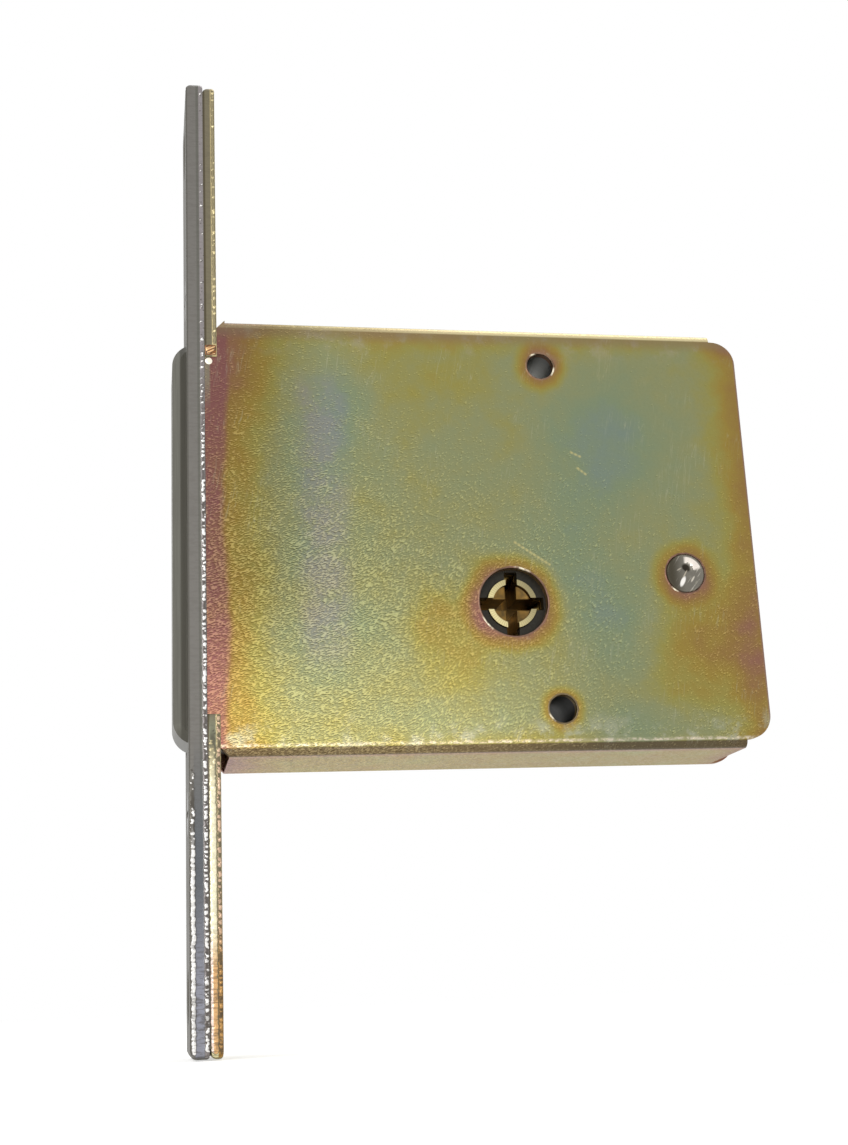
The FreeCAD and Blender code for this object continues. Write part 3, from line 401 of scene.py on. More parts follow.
def fold_wear_and_light(tree, place, colour):
    """Bare zinc in blotches beside the folds, with a painted highlight on the top fold and painted
    shade on the bottom one.
    """
    x, y, z = add_node(tree, "SeparateXYZ", {0: place}).outputs
    blotch = add_node(tree, "TexNoise", {
        "Vector": place, "Scale": 1 / (4.5 * MM), "Detail": 5.0, "Roughness": 0.65})
    dots = add_node(tree, "TexNoise", {"Vector": place, "Scale": 1 / (0.8 * MM), "Detail": 2.0})
    # on the face, or on it and its bends
    face = (y, FACE_Y + 0.1 * MM, FACE_Y + 0.5 * MM, 1.0, 0.0)
    bends = (y, FACE_Y + 1.2 * MM, FACE_Y + 1.6 * MM, 1.0, 0.0)
    # each: the ramps whose product it is, and the colour it brings
    marks = (
        # rosy grey patch above the middle, beside the forend
        ((face, (x, 17 * MM, 21 * MM, 0.0, 1.0), (x, 29 * MM, 24 * MM, 0.0, 1.0),
          (z, -27 * MM, -16 * MM, 0.0, 0.5), (z, 31 * MM, 24 * MM, 0.0, 1.0),
          (blotch, 0.36, 0.58, 0.35, 1.0)), "#87808a"),
        # pale blotches along the top and the bottom
        ((face, (z, FOLD_Z - 6 * MM, FOLD_Z, 0.0, 1.0), (blotch, 0.48, 0.68, 0.0, 0.65)),
         "#a09a86"),
        ((face, (z, 6.5 * MM - FOLD_Z, -FOLD_Z, 0.0, 1.0), (blotch, 0.50, 0.66, 0.0, 0.75)),
         "#a5a794"),
        # brown line below the top fold, a painted highlight on the fold, and the bend above it
        # darker
        ((face, (z, FOLD_Z - 2.6 * MM, FOLD_Z - 0.2 * MM, 0.0, 0.65)), "#85745a"),
        ((bends, (z, FOLD_Z - 0.05 * MM, FOLD_Z + 0.25 * MM, 0.0, 1.0),
          (x, 12 * MM, 55 * MM, 0.25, 0.95)), "#d6c89c"),
        ((bends, (z, FOLD_Z + 1.05 * MM, FOLD_Z + 1.2 * MM, 0.0, 0.7)), "#736843"),
        # painted shade on the bottom bend, and the brownish flanges behind it
        ((bends, (z, -FOLD_Z, -FOLD_Z - 0.3 * MM, 0.0, 0.95)), "#564a38"),
        (((y, FACE_Y + 1.0 * MM, FACE_Y + 1.5 * MM, 0.0, 1.0),
          (y, FACE_Y + 4 * MM, FACE_Y + 1.8 * MM, 0.0, 0.7)), "#9a6f5e"),
        # dotted pale line along the bottom fold, painted as its highlight
        ((face, (z, 0.7 * MM - FOLD_Z, 0.2 * MM - FOLD_Z, 0.0, 1.0),
          (z, -FOLD_Z - 0.1 * MM, 0.1 * MM - FOLD_Z, 0.0, 1.0), (dots, 0.42, 0.60, 0.20, 0.95)),
         "#cfc3ae"),
        # rosy back rim, and the grey top of the tab's root
        (((x, BACK_X - 0.40 * MM, BACK_X - 0.12 * MM, 0.0, 0.8),
          (y, FACE_Y + 1.4 * MM, FACE_Y + 1.7 * MM, 1.0, 0.0)), "#8a6f66"),
        (((x, 4.1 * MM, 3.7 * MM, 0.0, 1.0), face, (z, 20 * MM, 28 * MM, 0.0, 0.8)), "#8d8a78"),
    )
    return lay_tones(tree, colour, [
        (masked(tree, limits, "SMOOTHSTEP"), tone) for limits, tone in marks])


def yellow_passivate(sizes):
    """Rolled steel sheet, zinc plated and yellow chromated.

    The thin film gives drifting green, gold and mauve clouds; the rolls leave short strokes, whose
    glitter is painted highlight and shade.
    """
    material, tree, place = new_material("zinc_yellow_passivate")
    colour = fold_wear_and_light(tree, place, passivate_colour(tree, film_thickness(tree, place)))
    lip, stroke_shade, glint_crowding = rolled_strokes(tree, place, sizes)
    x, y, z = add_node(tree, "SeparateXYZ", {0: place}).outputs
    # painted highlight: low on the forend side the colour is brightened between the strokes, where
    # the light's reflection falls
    low = add_node(tree, "MapRange", {0: z, 1: -6 * MM, 2: -37 * MM, 3: 0.0, 4: 1.0})
    low = add_node(tree, "Math", {0: low, 1: 1.3}, operation="POWER")
    shine = masked(tree, ((x, 70 * MM, 46 * MM, 0.0, 1.0),
                          (y, FACE_Y + 1.2 * MM, FACE_Y + 0.8 * MM, 0.0, 1.0)), mask=low)
    # painted shade: beside the forend and above, the colour is dimmed
    shade = masked(tree, ((z, -26 * MM, -10 * MM, 0.0, 1.0), (x, 24 * MM, 14 * MM, 0.0, 1.0)))
    for mask, gain in ((shine, (1.75, 1.65, 1.55, 1.0)), (shade, (0.78, 0.76, 0.74, 1.0))):
        colour = add_node(tree, "Mix", {0: mask, 6: colour, 7: gain}, data_type="RGBA",
                          blend_type="MULTIPLY")
    # colour of the strokes' painted highlights: brightened, and paled a little
    glint_tone = add_node(tree, "Mix", {0: 1.0, 6: colour, 7: (1.60, 1.56, 1.36, 1.0)},
                      data_type="RGBA", blend_type="MULTIPLY")
    glint_tone = add_node(tree, "Mix", {0: 0.12, 6: glint_tone, 7: linear("#efe6b4")}, data_type="RGBA")
    depth = add_node(tree, "MapRange", {0: glint_crowding, 1: 0.0, 2: 1.0, 3: 0.40, 4: 1.0})
    # the strokes' painted shade and painted highlights, the handling scratches and the scores
    layers = (
        (stroke_shade, depth, (0.50, 0.47, 0.38, 1.0), "MULTIPLY"),
        (lip, depth, glint_tone, "MIX"),
        (handling_scratches(tree, place), 0.30, linear("#b4b296"), "MIX"),
        (scored_marks(tree, place), 0.55, linear("#d6c686"), "MIX"),
    )
    for mark, strength, tone, blend in layers:
        amount = add_node(tree, "Math", {0: mark, 1: strength}, operation="MULTIPLY")
        colour = add_node(tree, "Mix", {0: amount, 6: colour, 7: tone}, data_type="RGBA",
                          blend_type=blend)
    peel = add_node(tree, "TexNoise", {"Vector": place, "Scale": 1 / (0.45 * MM), "Detail": 2.0})
    rough = add_node(tree, "MapRange", {0: peel, 1: 0.3, 2: 0.7, 3: 0.36, 4: 0.52})
    close_metal(tree, colour, 0.9, rough, (peel, 0.25, 0.05), (lip, 0.5, 0.02))
    return material


def edge_bands(tree, x, z, front_x, base, bands):
    """Colours of upright bands on a plate's edge.

    Each band is its two sides across the edge in mm, the heights in mm between which it comes in,
    and its colour. Its sides fade over 0.1 mm to either hand.
    """
    layers = []
    for x0, x1, z0, z1, tone in bands:
        height = add_node(tree, "MapRange", {0: z, 1: z0 * MM, 2: z1 * MM, 3: 0.0, 4: 1.0})
        sides = [(x, front_x + (side - fade) * MM, front_x + (side + fade) * MM, 0.0, 1.0)
                 for side, fade in ((x0, 0.1), (x1, -0.1))]
        layers.append((masked(tree, sides, "SMOOTHSTEP", height), tone))
    return lay_tones(tree, linear(base), layers)


def punched_lip(name, middle, dull, glint_ways, share):
    """Plated lip of a punched hole, dull but for bright bits painted as glints.

    The bits lie the given ways, as x and z from the middle; the share is where one ends, as the
    cosine of the angle from its middle.
    """
    material, tree, place = new_material(name)
    local = add_node(tree, "VectorMath", {0: place, 1: (middle.x, FACE_Y, middle.z)},
                     operation="SUBTRACT")
    way = add_node(tree, "VectorMath", {0: local}, operation="NORMALIZE")
    crumble = add_node(tree, "TexNoise", {"Vector": place, "Scale": 1 / (0.6 * MM), "Detail": 2.0})
    stain = add_node(tree, "TexNoise", {"Vector": place, "Scale": 1 / (2.2 * MM), "Detail": 2.0})
    darker = add_node(tree, "MapRange", {0: stain, 1: 0.40, 2: 0.62, 3: 0.0, 4: 0.6})
    layers = [(darker, "#4f4232")]
    # bright bits painted as glints, the given ways
    for x, z in glint_ways:
        toward = add_node(tree, "VectorMath", {0: way, 1: Vector((x, 0, z)).normalized()},
                          operation="DOT_PRODUCT")
        glint = masked(tree, ((toward, share, 1.0, 0.0, 1.0), (crumble, 0.38, 0.55, 0.0, 1.0)))
        layers.append((glint, "#f6ecd2"))
    colour = lay_tones(tree, linear(dull), layers)
    close_metal(tree, colour, 0.9, 0.38, (crumble, 0.4, 0.04))
    return material


def torn_metal(name, base, bands, lump, lump_bands, tear, front_x=0.0):
    """Edge left by the shear: grey bands, and lumps with a painted highlight, each ringed by
    painted shade.

    The near edge's lumps start on the plate's face, the far edge's one tear height inside it.
    """
    material, tree, place = new_material(name)
    x, y, z = add_node(tree, "SeparateXYZ", {0: place}).outputs
    outward = add_node(tree, "Math", {0: y, 1: tear / 2}, operation="ADD")
    outward = add_node(tree, "Math", {0: outward}, operation="ABSOLUTE")
    start = FAR_Y - tear / 2
    # parts of the tear's height between which the painted shade round a lump and its painted
    # highlight come in, and how far
    hollow, proud_glint = (
        add_node(tree, "MapRange", {
            0: outward, 1: start + foot * tear, 2: start + top * tear, 3: 0.0, 4: strength})
        for foot, top, strength in ((0.10, 0.26, 0.75), (0.34, 0.62, 1.0)))
    # the shear's drag lines run across the plate, drawn at 0.34 mm, coarser than real, to show
    drag = grain_noise(tree, place, (1.6 * MM, 1.6 * MM, 0.34 * MM), Roughness=0.6)
    dark = masked(tree, ((drag, 0.40, 0.54, 1.0, 0.0), (z, -60 * MM, -76 * MM, 0.12, 0.55)))
    # painted shade round each lump, painted highlight on its top, and the drag lines
    colour = lay_tones(tree, edge_bands(tree, x, z, front_x, base, bands), (
        (hollow, "#4b463f"),
        (proud_glint, edge_bands(tree, x, z, front_x, lump, lump_bands)),
        (dark, "#4a443c"),
    ))
    close_metal(tree, colour, 0.9, 0.36, (drag, 0.4, 0.04))
    return material


def satin_metal(name, colour, metallic=1.0, roughness=0.35, grain=(0.12, 0.12, 6.0), tone=0.14,
                depth=0.012):
    """Drawn, turned or plated metal with fine grain lines along the work, and faint smudges.

    The grain's size and the depth of its lines are in mm; the tone is how far they change it.
    """
    material, tree, place = new_material(name)
    lines = grain_noise(tree, place, tuple(size * MM for size in grain), Roughness=0.6)
    smudge = add_node(tree, "TexNoise", {"Vector": place, "Scale": 1 / (7 * MM), "Detail": 3.0})
    both = add_node(tree, "Math", {0: lines, 1: smudge}, operation="ADD")
    light = add_node(tree, "MapRange", {0: both, 1: 0.7, 2: 1.3, 3: 1.0 - tone, 4: 1.0 + tone})
    tint = add_node(tree, "VectorMath", {0: tuple(colour)[:3], "Scale": light}, operation="SCALE")
    rough = add_node(tree, "MapRange", {
        0: smudge, 1: 0.3, 2: 0.7, 3: roughness - 0.06, 4: roughness + 0.08})
    close_metal(tree, tint, metallic, rough, (lines, 0.5, depth))
    return material


def drawn_nickel():
    """Bolt of drawn bar, nickel plated: soft grey lines, with painted shade beside the faceplate
    and below.
    """
    material, tree, place = new_material("drawn_nickel_bolt")
    x = add_node(tree, "SeparateXYZ", {0: place}).outputs[0]
    normal = add_node(tree, "NewGeometry").outputs["Normal"]
    upward = add_node(tree, "SeparateXYZ", {0: normal}).outputs[2]
    lines = grain_noise(tree, place, (0.3 * MM, 0.3 * MM, 9 * MM))
    # each: a value, the two values between which its tone comes in, how far it does, and the tone
    marks = (
        # painted shade beside the faceplate
        (x, -1.25 * MM, -0.95 * MM, 1.0, "#53514a"),
        (x, -0.35 * MM, -0.10 * MM, 0.35, "#6c6a63"),
        # painted shade on the faces that look down
        (upward, -0.15, -0.60, 0.9, "#55534c"),
        (lines, 0.35, 0.65, 0.22, "#45433d"),
    )
    colour = lay_tones(tree, linear("#74736b"), [
        (add_node(tree, "MapRange", {0: value, 1: start, 2: end, 3: 0.0, 4: strength}), tone)
        for value, start, end, strength, tone in marks])
    close_metal(tree, colour, 1.0, 0.38, (lines, 0.5, 0.012))
    return material


def turned_brass():
    """Turned brass nose of the plug: keys rub its rim bare in ribs, which carry a painted
    highlight, and the dark brown of its keyway is painted shade.
    """
    material, tree, place = new_material("turned_brass_plug")
    x, y, z, flat = round_axis(tree, place, KEY_AXIS)
    radius = add_node(tree, "VectorMath", {0: flat}, operation="LENGTH")
    angle = add_node(tree, "Math", {0: z, 1: x}, operation="ARCTAN2")
    # 64 ribs round the rim, a little coarser than real, so that they show
    ribs = add_node(tree, "Math", {0: angle, 1: 64.0}, operation="MULTIPLY")
    ribs = add_node(tree, "Math", {0: ribs}, operation="SINE")
    worn = masked(tree, ((radius, 3.30 * MM, 3.48 * MM, 0.0, 1.0),
                         (y, -8.86 * MM, -8.2 * MM, 1.0, 0.0)))
    # painted highlight, strongest on the lower left arc and weakest on the lower right one
    diagonal = add_node(tree, "VectorMath", {0: flat, 1: (-0.75, 0.0, -0.35)},
                        operation="DOT_PRODUCT")
    gleam = masked(tree, ((diagonal, -3.2 * MM, 3.2 * MM, 0.15, 1.0),
                          (ribs, -1.0, 1.0, 0.66, 1.0)))
    bare_and_lit = add_node(tree, "Mix", {0: gleam, 6: linear("#8a8060"), 7: linear("#f0e2a8")},
                    data_type="RGBA")
    # the plug's dark brown base is painted shade; the lighter stains are its own
    stain = add_node(tree, "TexNoise", {"Vector": place, "Scale": 1 / (1.4 * MM), "Detail": 3.0})
    brown = add_node(tree, "MapRange", {0: stain, 1: 0.35, 2: 0.65, 3: 0.0, 4: 1.0})
    colour = lay_tones(tree, linear("#5f4d2e"), ((brown, "#856633"), (worn, bare_and_lit)))
    rib_height = add_node(tree, "Math", {0: ribs, 1: worn}, operation="MULTIPLY")
    close_metal(tree, colour, 0.95, 0.28, (rib_height, 0.4, 0.03))
    return material


def hammered_steel():
    """Riveted end of the post: beaten bare steel, grey and scored, painted highlight inside the rim
    and painted shade in its hollow.
    """
    material, tree, place = new_material("hammered_steel_rivet")
    x, _, _, flat = round_axis(tree, place, REAR_POST)
    score = grain_noise(tree, flat, (3.0 * MM, 1.0 * MM, 0.30 * MM), -52, Roughness=0.65)
    side = add_node(tree, "MapRange", {0: x, 1: -2.6 * MM, 2: 0.2 * MM, 3: 0.0, 4: 1.0},
                    interpolation_type="SMOOTHSTEP")
    streak = masked(tree, ((score, 0.58, 0.66, 0.0, 1.0),), mask=side)
    # painted highlight: bright crescent just inside the rim at the upper right
    away = add_node(tree, "VectorMath", {0: flat}, operation="LENGTH")
    way = add_node(tree, "VectorMath", {0: flat}, operation="NORMALIZE")
    toward = add_node(tree, "VectorMath", {0: way, 1: (0.57, 0.0, 0.82)}, operation="DOT_PRODUCT")
    ragged = add_node(tree, "MapRange", {0: score, 1: 0.3, 2: 0.7, 3: 1.45 * MM, 4: 2.25 * MM})
    band = add_node(tree, "Math", {0: away, 1: ragged}, operation="GREATER_THAN")
    rim = masked(tree, ((toward, 0.76, 0.86, 0.0, 1.0), (away, 2.85 * MM, 3.0 * MM, 1.0, 0.0)),
                 mask=band)
    layers = [(side, "#77736a"), (streak, "#b3aea2"), (rim, "#e9e0d6")]
    # painted shade in the hollow near the top, a painted highlight along the gouge below it, and
    # smaller light marks beside it, partly painted glints: middle in mm, lie in degrees, length and
    # width in mm, colour
    spots = (
        ((0.25, 1.05), -30, 0.95, 0.70, "#2f2a22"),
        ((-0.60, -1.50), 62, 1.20, 0.42, "#faf6f0"),
        ((-0.05, -0.10), 56, 0.95, 0.13, "#b5ab9a"),
        ((-1.05, 0.75), 30, 0.60, 0.15, "#a9a193"),
        ((1.25, -1.05), 58, 0.70, 0.17, "#c9c2b4"),
        ((1.75, -1.75), 60, 0.50, 0.15, "#8d897c"),
    )
    for (spot_x, spot_z), turn, length, width, tone in spots:
        moved = add_node(tree, "VectorMath", {0: flat, 1: (spot_x * MM, 0, spot_z * MM)},
                         operation="SUBTRACT")
        turned = add_node(tree, "Mapping", {
            "Vector": moved, "Rotation": (0, math.radians(-turn), 0),
            "Scale": (length * MM, MM, width * MM)}, vector_type="TEXTURE")
        far = add_node(tree, "VectorMath", {0: turned}, operation="LENGTH")
        mark = add_node(tree, "MapRange", {0: far, 1: 0.65, 2: 1.05, 3: 1.0, 4: 0.0})
        layers.append((mark, tone))
    colour = lay_tones(tree, linear("#4c473b"), layers)
    close_metal(tree, colour, 0.9, 0.34, (score, 0.7, 0.08))
    return material


def node_copy(node, join_flats=True):
    """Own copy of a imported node's mesh, welded, with its flat faces joined."""
    shape = bmesh.new()
    shape.from_mesh(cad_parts[node].data)
    bmesh.ops.remove_doubles(shape, verts=shape.verts, dist=WELD)
    if join_flats:
        bmesh.ops.dissolve_limit(shape, angle_limit=FLAT_ANGLE, verts=shape.verts,
                                 edges=shape.edges)
    return shape


def break_edges(shape, width):
    """Puts a small chamfer on every sharp edge that has room for it."""
    sharp = []
    for edge in shape.edges:
        around = [other.calc_length() for vertex in edge.verts for other in vertex.link_edges]
        if len(edge.link_faces) == 2 and min(around) > 2.5 * width:
            if edge.calc_face_angle(0.0) > SHARP_ANGLE:
                sharp.append(edge)
    bmesh.ops.bevel(shape, geom=sharp, offset=width, segments=1, affect="EDGES",
                    clamp_overlap=True, profile=0.5)


def set_piece(name, shape, body, materials, replaced=None, sharp_angle=25):
    """Turns the mesh into a piece that rides on a body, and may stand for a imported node."""
    mesh = bpy.data.meshes.new(name)
    shape.edges.index_update()
    # a broad flat face keeps its own shading up to its border
    borders = [
        edge.index for edge in shape.edges
        if len(edge.link_faces) == 2 and edge.calc_face_angle(0.0) > math.radians(2)
        and max(face.calc_area() for face in edge.link_faces) > BROAD_FACE]
    shape.to_mesh(mesh)
    shape.free()
    for material in materials:
        mesh.materials.append(material)
    mesh.shade_smooth()
    mesh.set_sharp_from_angle(angle=math.radians(sharp_angle))
    for index in borders:
        mesh.edges[index].use_edge_sharp = True
    piece = bpy.data.objects.new(name, mesh)
    bpy.context.scene.collection.objects.link(piece)
    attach(piece, body)
    if replaced:
        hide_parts(replaced)
    return piece


def finish_node(node, material):
    """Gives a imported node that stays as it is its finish."""
    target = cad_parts[node]
    target.data.materials.clear()
    target.data.materials.append(material)


def run_down(value, high, low):
    """0 above high, 1 below low, and even between."""
    return min(1.0, max(0.0, (high - value) / (high - low)))


def tear_profile(across, height, columns, length):
    """How far a torn edge stands out, 0 to 1, at a place across the plate and at a height."""
    out = 0.0
    for place, spread, starts, crowds, floors in columns:
        fade = run_down(height / MM, *starts)
        if fade <= 0:
            continue
        dense = run_down(height / MM, *crowds)
        # the column sways, and its lumps carry crumbs; its place picks its own stretch of noise
        own = place * 7
        sway = noise.noise(Vector((own, 2.0, height / (1.6 * length)))) * 0.16
        ridge = math.exp(-((across / MM - place - sway) / spread) ** 4)
        lump = noise.noise(Vector((across / (0.8 * MM) + own, 0.0, height / length)))
        crumb = noise.noise(Vector((across / (0.3 * MM), 5.0, height / (0.4 * length))))
        rough = max(0.0, lump * 2.2 + crumb * 0.5 - 0.74 + 0.92 * dense)
        rough += floors[0] + (floors[1] - floors[0]) * dense
        out = max(out, ridge * fade * min(1.0, rough))
    return out


def torn_strip(shape, low, high, z0, z1, side, columns, sizes, step):
    """Lays a displaced grid over a long edge of a plate, closed down to it at its borders."""
    x0 = low[0] + STRIP_INSET
    x1 = high[0] - STRIP_INSET
    across_count = int(round((x1 - x0) / STRIP_CELL))
    along_count = int(round((z1 - z0) / step))
    rows = []
    for j in range(along_count + 1):
        z = z0 + (z1 - z0) * j / along_count
        # the edge turns inward at the plate's rounded corners
        past = max(0.0, z - high[2] + PLATE_END_R, low[2] + PLATE_END_R - z)
        inward = PLATE_END_R - math.sqrt(PLATE_END_R ** 2 - past ** 2)
        row = []
        for i in range(-1, across_count + 2):
            inside = min(max(i, 0), across_count)
            x = x0 + (x1 - x0) * inside / across_count
            out = 0.0
            if 0 <= i <= across_count and 0 < j < along_count:
                torn = tear_profile(x - x0, z, columns, sizes.tear_length)
                out = (STRIP_LIFT + (1 - STRIP_LIFT) * torn) * sizes.tear_height
            y = FACE_Y + inward - out if side < 0 else FAR_Y - inward - sizes.tear_height + out
            row.append(shape.verts.new((x, y, z)))
        rows.append(row)
    for lower, upper in zip(rows, rows[1:]):
        for i in range(len(lower) - 1):
            corners = [lower[i], lower[i + 1], upper[i + 1], upper[i]]
            if side > 0:
                corners.reverse()
            shape.faces.new(corners).material_index = 1


def round_ends(shape, low, high, front, rear):
    """Rolls a plate's ends over towards its front and rear faces, by the two radii."""
    steps = [1 - math.cos(math.radians(turn)) for turn in (22.5, 45, 67.5, 90)]
    cuts = [low[0] + front * step for step in steps] + [high[0] - rear * step for step in steps]
    for cut in cuts:
        bmesh.ops.bisect_plane(shape, geom=shape.verts[:] + shape.edges[:] + shape.faces[:],
                               dist=0.001 * MM, plane_co=(cut, 0, 0), plane_no=(1, 0, 0))
    start = high[2] - 2 * front
    for vertex in shape.verts:
        beyond = abs(vertex.co.z) - start
        if beyond > 0:
            drop = 0.0
            for radius, inward in ((front, vertex.co.x - low[0]), (rear, high[0] - vertex.co.x)):
                short = max(0.0, radius - inward)
                drop += radius - math.sqrt(max(0.0, radius ** 2 - short ** 2))
            beyond *= 1 - drop / (high[2] - start)
            vertex.co.z = math.copysign(start + beyond, vertex.co.z)


def torn_plate(name, node, columns, stretches, sizes, materials):
    """Forend plate with its long edges torn by the shear and its ends rolled over."""
    shape = node_copy(node)
    break_edges(shape, sizes.edge_break)
    low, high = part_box(node)
    for vertex in shape.verts:
        if vertex.co.y > FAR_Y - 2 * sizes.edge_break:
            vertex.co.y -= sizes.tear_height
    for face in shape.faces:
        outward = abs(face.calc_center_median().y)
        if abs(face.normal.y) > 0.999 and outward > FAR_Y - 2 * sizes.tear_height:
            face.material_index = 1
    # the near edge is seen close, so its grid is finer than the far one's
    for z0, z1 in stretches:
        for side, step in ((-1, 0.16 * MM), (1, 0.40 * MM)):
            torn_strip(shape, low, high, z0, z1, side, columns, sizes, step)
    round_ends(shape, low, high, 1.0 * MM, 0.5 * MM)
    return set_piece(name, shape, "case", materials, node, sharp_angle=40)


def ring_burr(name, middle, radius, sizes, material, lift, seed):
    """Uneven lip of metal that a punch leaves round a hole."""
    shape = bmesh.new()
    turns = 120
    # from the hole outward: share of the width; depth in sheets, or below 0 the height in lifts
    profile = ((0.0, 0.35), (0.0, 0.0), (0.25, -0.8), (0.6, -1.0), (1.0, 0.0))
    rings = []
    for step in range(turns):
        angle = 2 * math.pi * step / turns
        way = Vector((math.cos(angle), 0, math.sin(angle)))
        spot = Vector((way.x * 2.5 + seed, seed, way.z * 2.5))
        swell = 0.55 + 0.9 * max(0.0, noise.noise(spot * 2.2) + 0.25)
        swell += 0.35 * noise.noise(spot * 9.0)
        ring = []
        for out, rise in profile:
            reach = radius - 0.02 * MM + out * sizes.burr_width * (0.7 + 0.3 * swell)
            corner = Vector((middle.x, FACE_Y, middle.z)) + way * reach
            corner.y += lift * rise * max(0.1, swell) if rise < 0 else rise * SHEET
            ring.append(shape.verts.new(corner))
        rings.append(ring)
    for ring, following in zip(rings, rings[1:] + rings[:1]):
        for i in range(len(profile) - 1):
            shape.faces.new((ring[i], following[i], following[i + 1], ring[i + 1]))
    bmesh.ops.recalc_face_normals(shape, faces=shape.faces)
    return set_piece(name, shape, "case", [material], sharp_angle=60)


def round_cap(shape, rings, place, material_index=0):
    """Closes a round cap; place gives a corner by its share of the radius and its angle."""
    turns = 48
    grid = []
    for i in range(rings + 1):
        grid.append([shape.verts.new(place(i / rings, 2 * math.pi * j / turns))
                     for j in range(turns if i else 1)])
    for inner, outer in zip(grid, grid[1:]):
        for j in range(turns):
            k = (j + 1) % turns
            if len(inner) == 1:
                corners = (inner[0], outer[j], outer[k])
            else:
                corners = (inner[j], outer[j], outer[k], inner[k])
            shape.faces.new(corners).material_index = material_index


class DEADLOCK_OT_case(bpy.types.Operator):
    """Dress the folded case and its cover in yellow passivate"""
    bl_idname = "deadlock.case"
    bl_label = "Case"

    def execute(self, context):
        sizes = context.scene.deadlock_sizes
        finish = yellow_passivate(sizes)
        for node in ("case_pan", "case_cover"):
            shape = node_copy(node)
            break_edges(shape, sizes.edge_break)
            set_piece(node + "_dressed", shape, "case", [finish], node)
        return {"FINISHED"}


class DEADLOCK_OT_forend(bpy.types.Operator):
    """Dress the two forend plates, with their sheared edges"""
    bl_idname = "deadlock.forend"
    bl_label = "Forend"

    # each column of torn lumps, in mm: middle across the plate, half width, the heights between
    # which it begins, those between which its lumps close up, and, from 0 to 1, the height left
    # between lumps at both ends
    OUTER_COLUMNS = (
        (2.62, 0.32, (90, 88), (48, 2), (0.0, 0.22)),
        (0.52, 0.36, (-32, -45), (-36, -58), (0.0, 0.55)),
    )
    INNER_COLUMNS = (
        (0.72, 0.56, (-31.5, -37), (-33, -48), (0.3, 0.75)),
        (1.74, 0.27, (90, 88), (40, -36), (0.42, 0.30)),
    )
    # bands of the sheared edges and of their lumps, as edge_bands takes them
    OUTER_BANDS = (
        (-0.2, 0.22, 90, 88, "#62605a"),
        (1.75, 2.25, 90, 88, "#6a6962"),
        (2.25, 2.95, 90, 88, "#928c8c"),
        (0.8, 2.2, -34, -52, "#63666a"),
        (0.8, 2.2, -58, -74, "#8d8e98"),
    )
    INNER_BANDS = (
        (-0.2, 0.35, 90, 88, "#57503f"),
        (1.30, 2.20, 90, 88, "#b5a67c"),
        (0.25, 1.30, -31, -34, "#8b8f78"),
        (0.25, 1.35, -33, -46, "#efe7b6"),
        (1.30, 2.20, -58, -72, "#a9803f"),
    )
    INNER_LUMPS = (
        (-0.2, 1.25, -36, -44, "#f6efcf"),
        (1.25, 2.30, -20, -34, "#c9ab90"),
        (-0.2, 0.60, -64, -70, "#f5dccf"),
        (0.60, 1.30, -65, -71, "#e0b27c"),
        (1.30, 2.30, -64, -70, "#b98f58"),
    )

    def execute(self, context):
        sizes = context.scene.deadlock_sizes
        colours = context.scene.deadlock_colours
        tear = sizes.tear_height
        # satin nickel plate on steel: a soft, dull grey sheen, its colour kept dark as painted
        # shade on the front face
        nickel = satin_metal("satin_nickel_plate", colours.nickel, roughness=0.5)
        # the same plate where the shear cut it: burnished grey, with torn lumps painted white as
        # highlights, ringed by painted shade
        torn_nickel = torn_metal("sheared_nickel_edge", "#787570", self.OUTER_BANDS,
                                 "#efedea", (), tear)
        # the inner plate's cut edge, olive above and cream where the zinc broke away, its lumps lit
        # by painted highlights and ringed by painted shade
        torn_zinc = torn_metal("sheared_zinc_edge", "#7a735f", self.INNER_BANDS,
                               "#cdbf92", self.INNER_LUMPS, tear, INNER_LOW[0])
        # the inner plate's broad faces: yellow zinc, dull and uneven
        plain_zinc = satin_metal("zinc_forend_plate", linear("#8b8058"), metallic=0.9,
                                 roughness=0.4, grain=(0.8, 0.8, 0.5), tone=0.22, depth=0.03)
        end = OUTER_HIGH[2] - STRIP_END
        torn_plate("outer_faceplate_dressed", "outer_faceplate", self.OUTER_COLUMNS,
                   ((-end, end),), sizes, [nickel, torn_nickel])
        # the inner plate's edge is broken by the case's tab
        below = (INNER_LOW[2] + STRIP_END, -TAB_HALF - 0.05 * MM)
        above = (BURR_TOP, INNER_HIGH[2] - STRIP_END)
        torn_plate("inner_forend_dressed", "inner_forend", self.INNER_COLUMNS,
                   (below, above), sizes, [plain_zinc, torn_zinc])
        # nickel plated screws, a little brighter than the plate
        screws = satin_metal("nickel_screw_heads", colours.nickel, roughness=0.3)
        finish_node("faceplate_screws", screws)
        return {"FINISHED"}


class DEADLOCK_OT_bolt(bpy.types.Operator):
    """Dress the bolt's head, tail, rivets and rollers"""
    bl_idname = "deadlock.bolt"
    bl_label = "Bolt"

    def execute(self, context):
        shape = node_copy("bolt_head")
        break_edges(shape, 2 * context.scene.deadlock_sizes.edge_break)
        set_piece("bolt_head_dressed", shape, "bolt", [drawn_nickel()], "bolt_head")
        # pressed and machined steel, bright, with grain along the bolt's travel
        steel = satin_metal("pressed_steel_tail", context.scene.deadlock_colours.steel,
                            grain=(5.0, 0.2, 0.2))
        for node in ("bolt_tail", "bolt_rivets", "roller_plugs"):
            finish_node(node, steel)
        # hardened rollers, ground smooth: darker and more mirror-like
        ground = satin_metal("ground_hardened_rollers", linear("#55534f"), roughness=0.22)
        finish_node("hardened_rollers", ground)
        return {"FINISHED"}


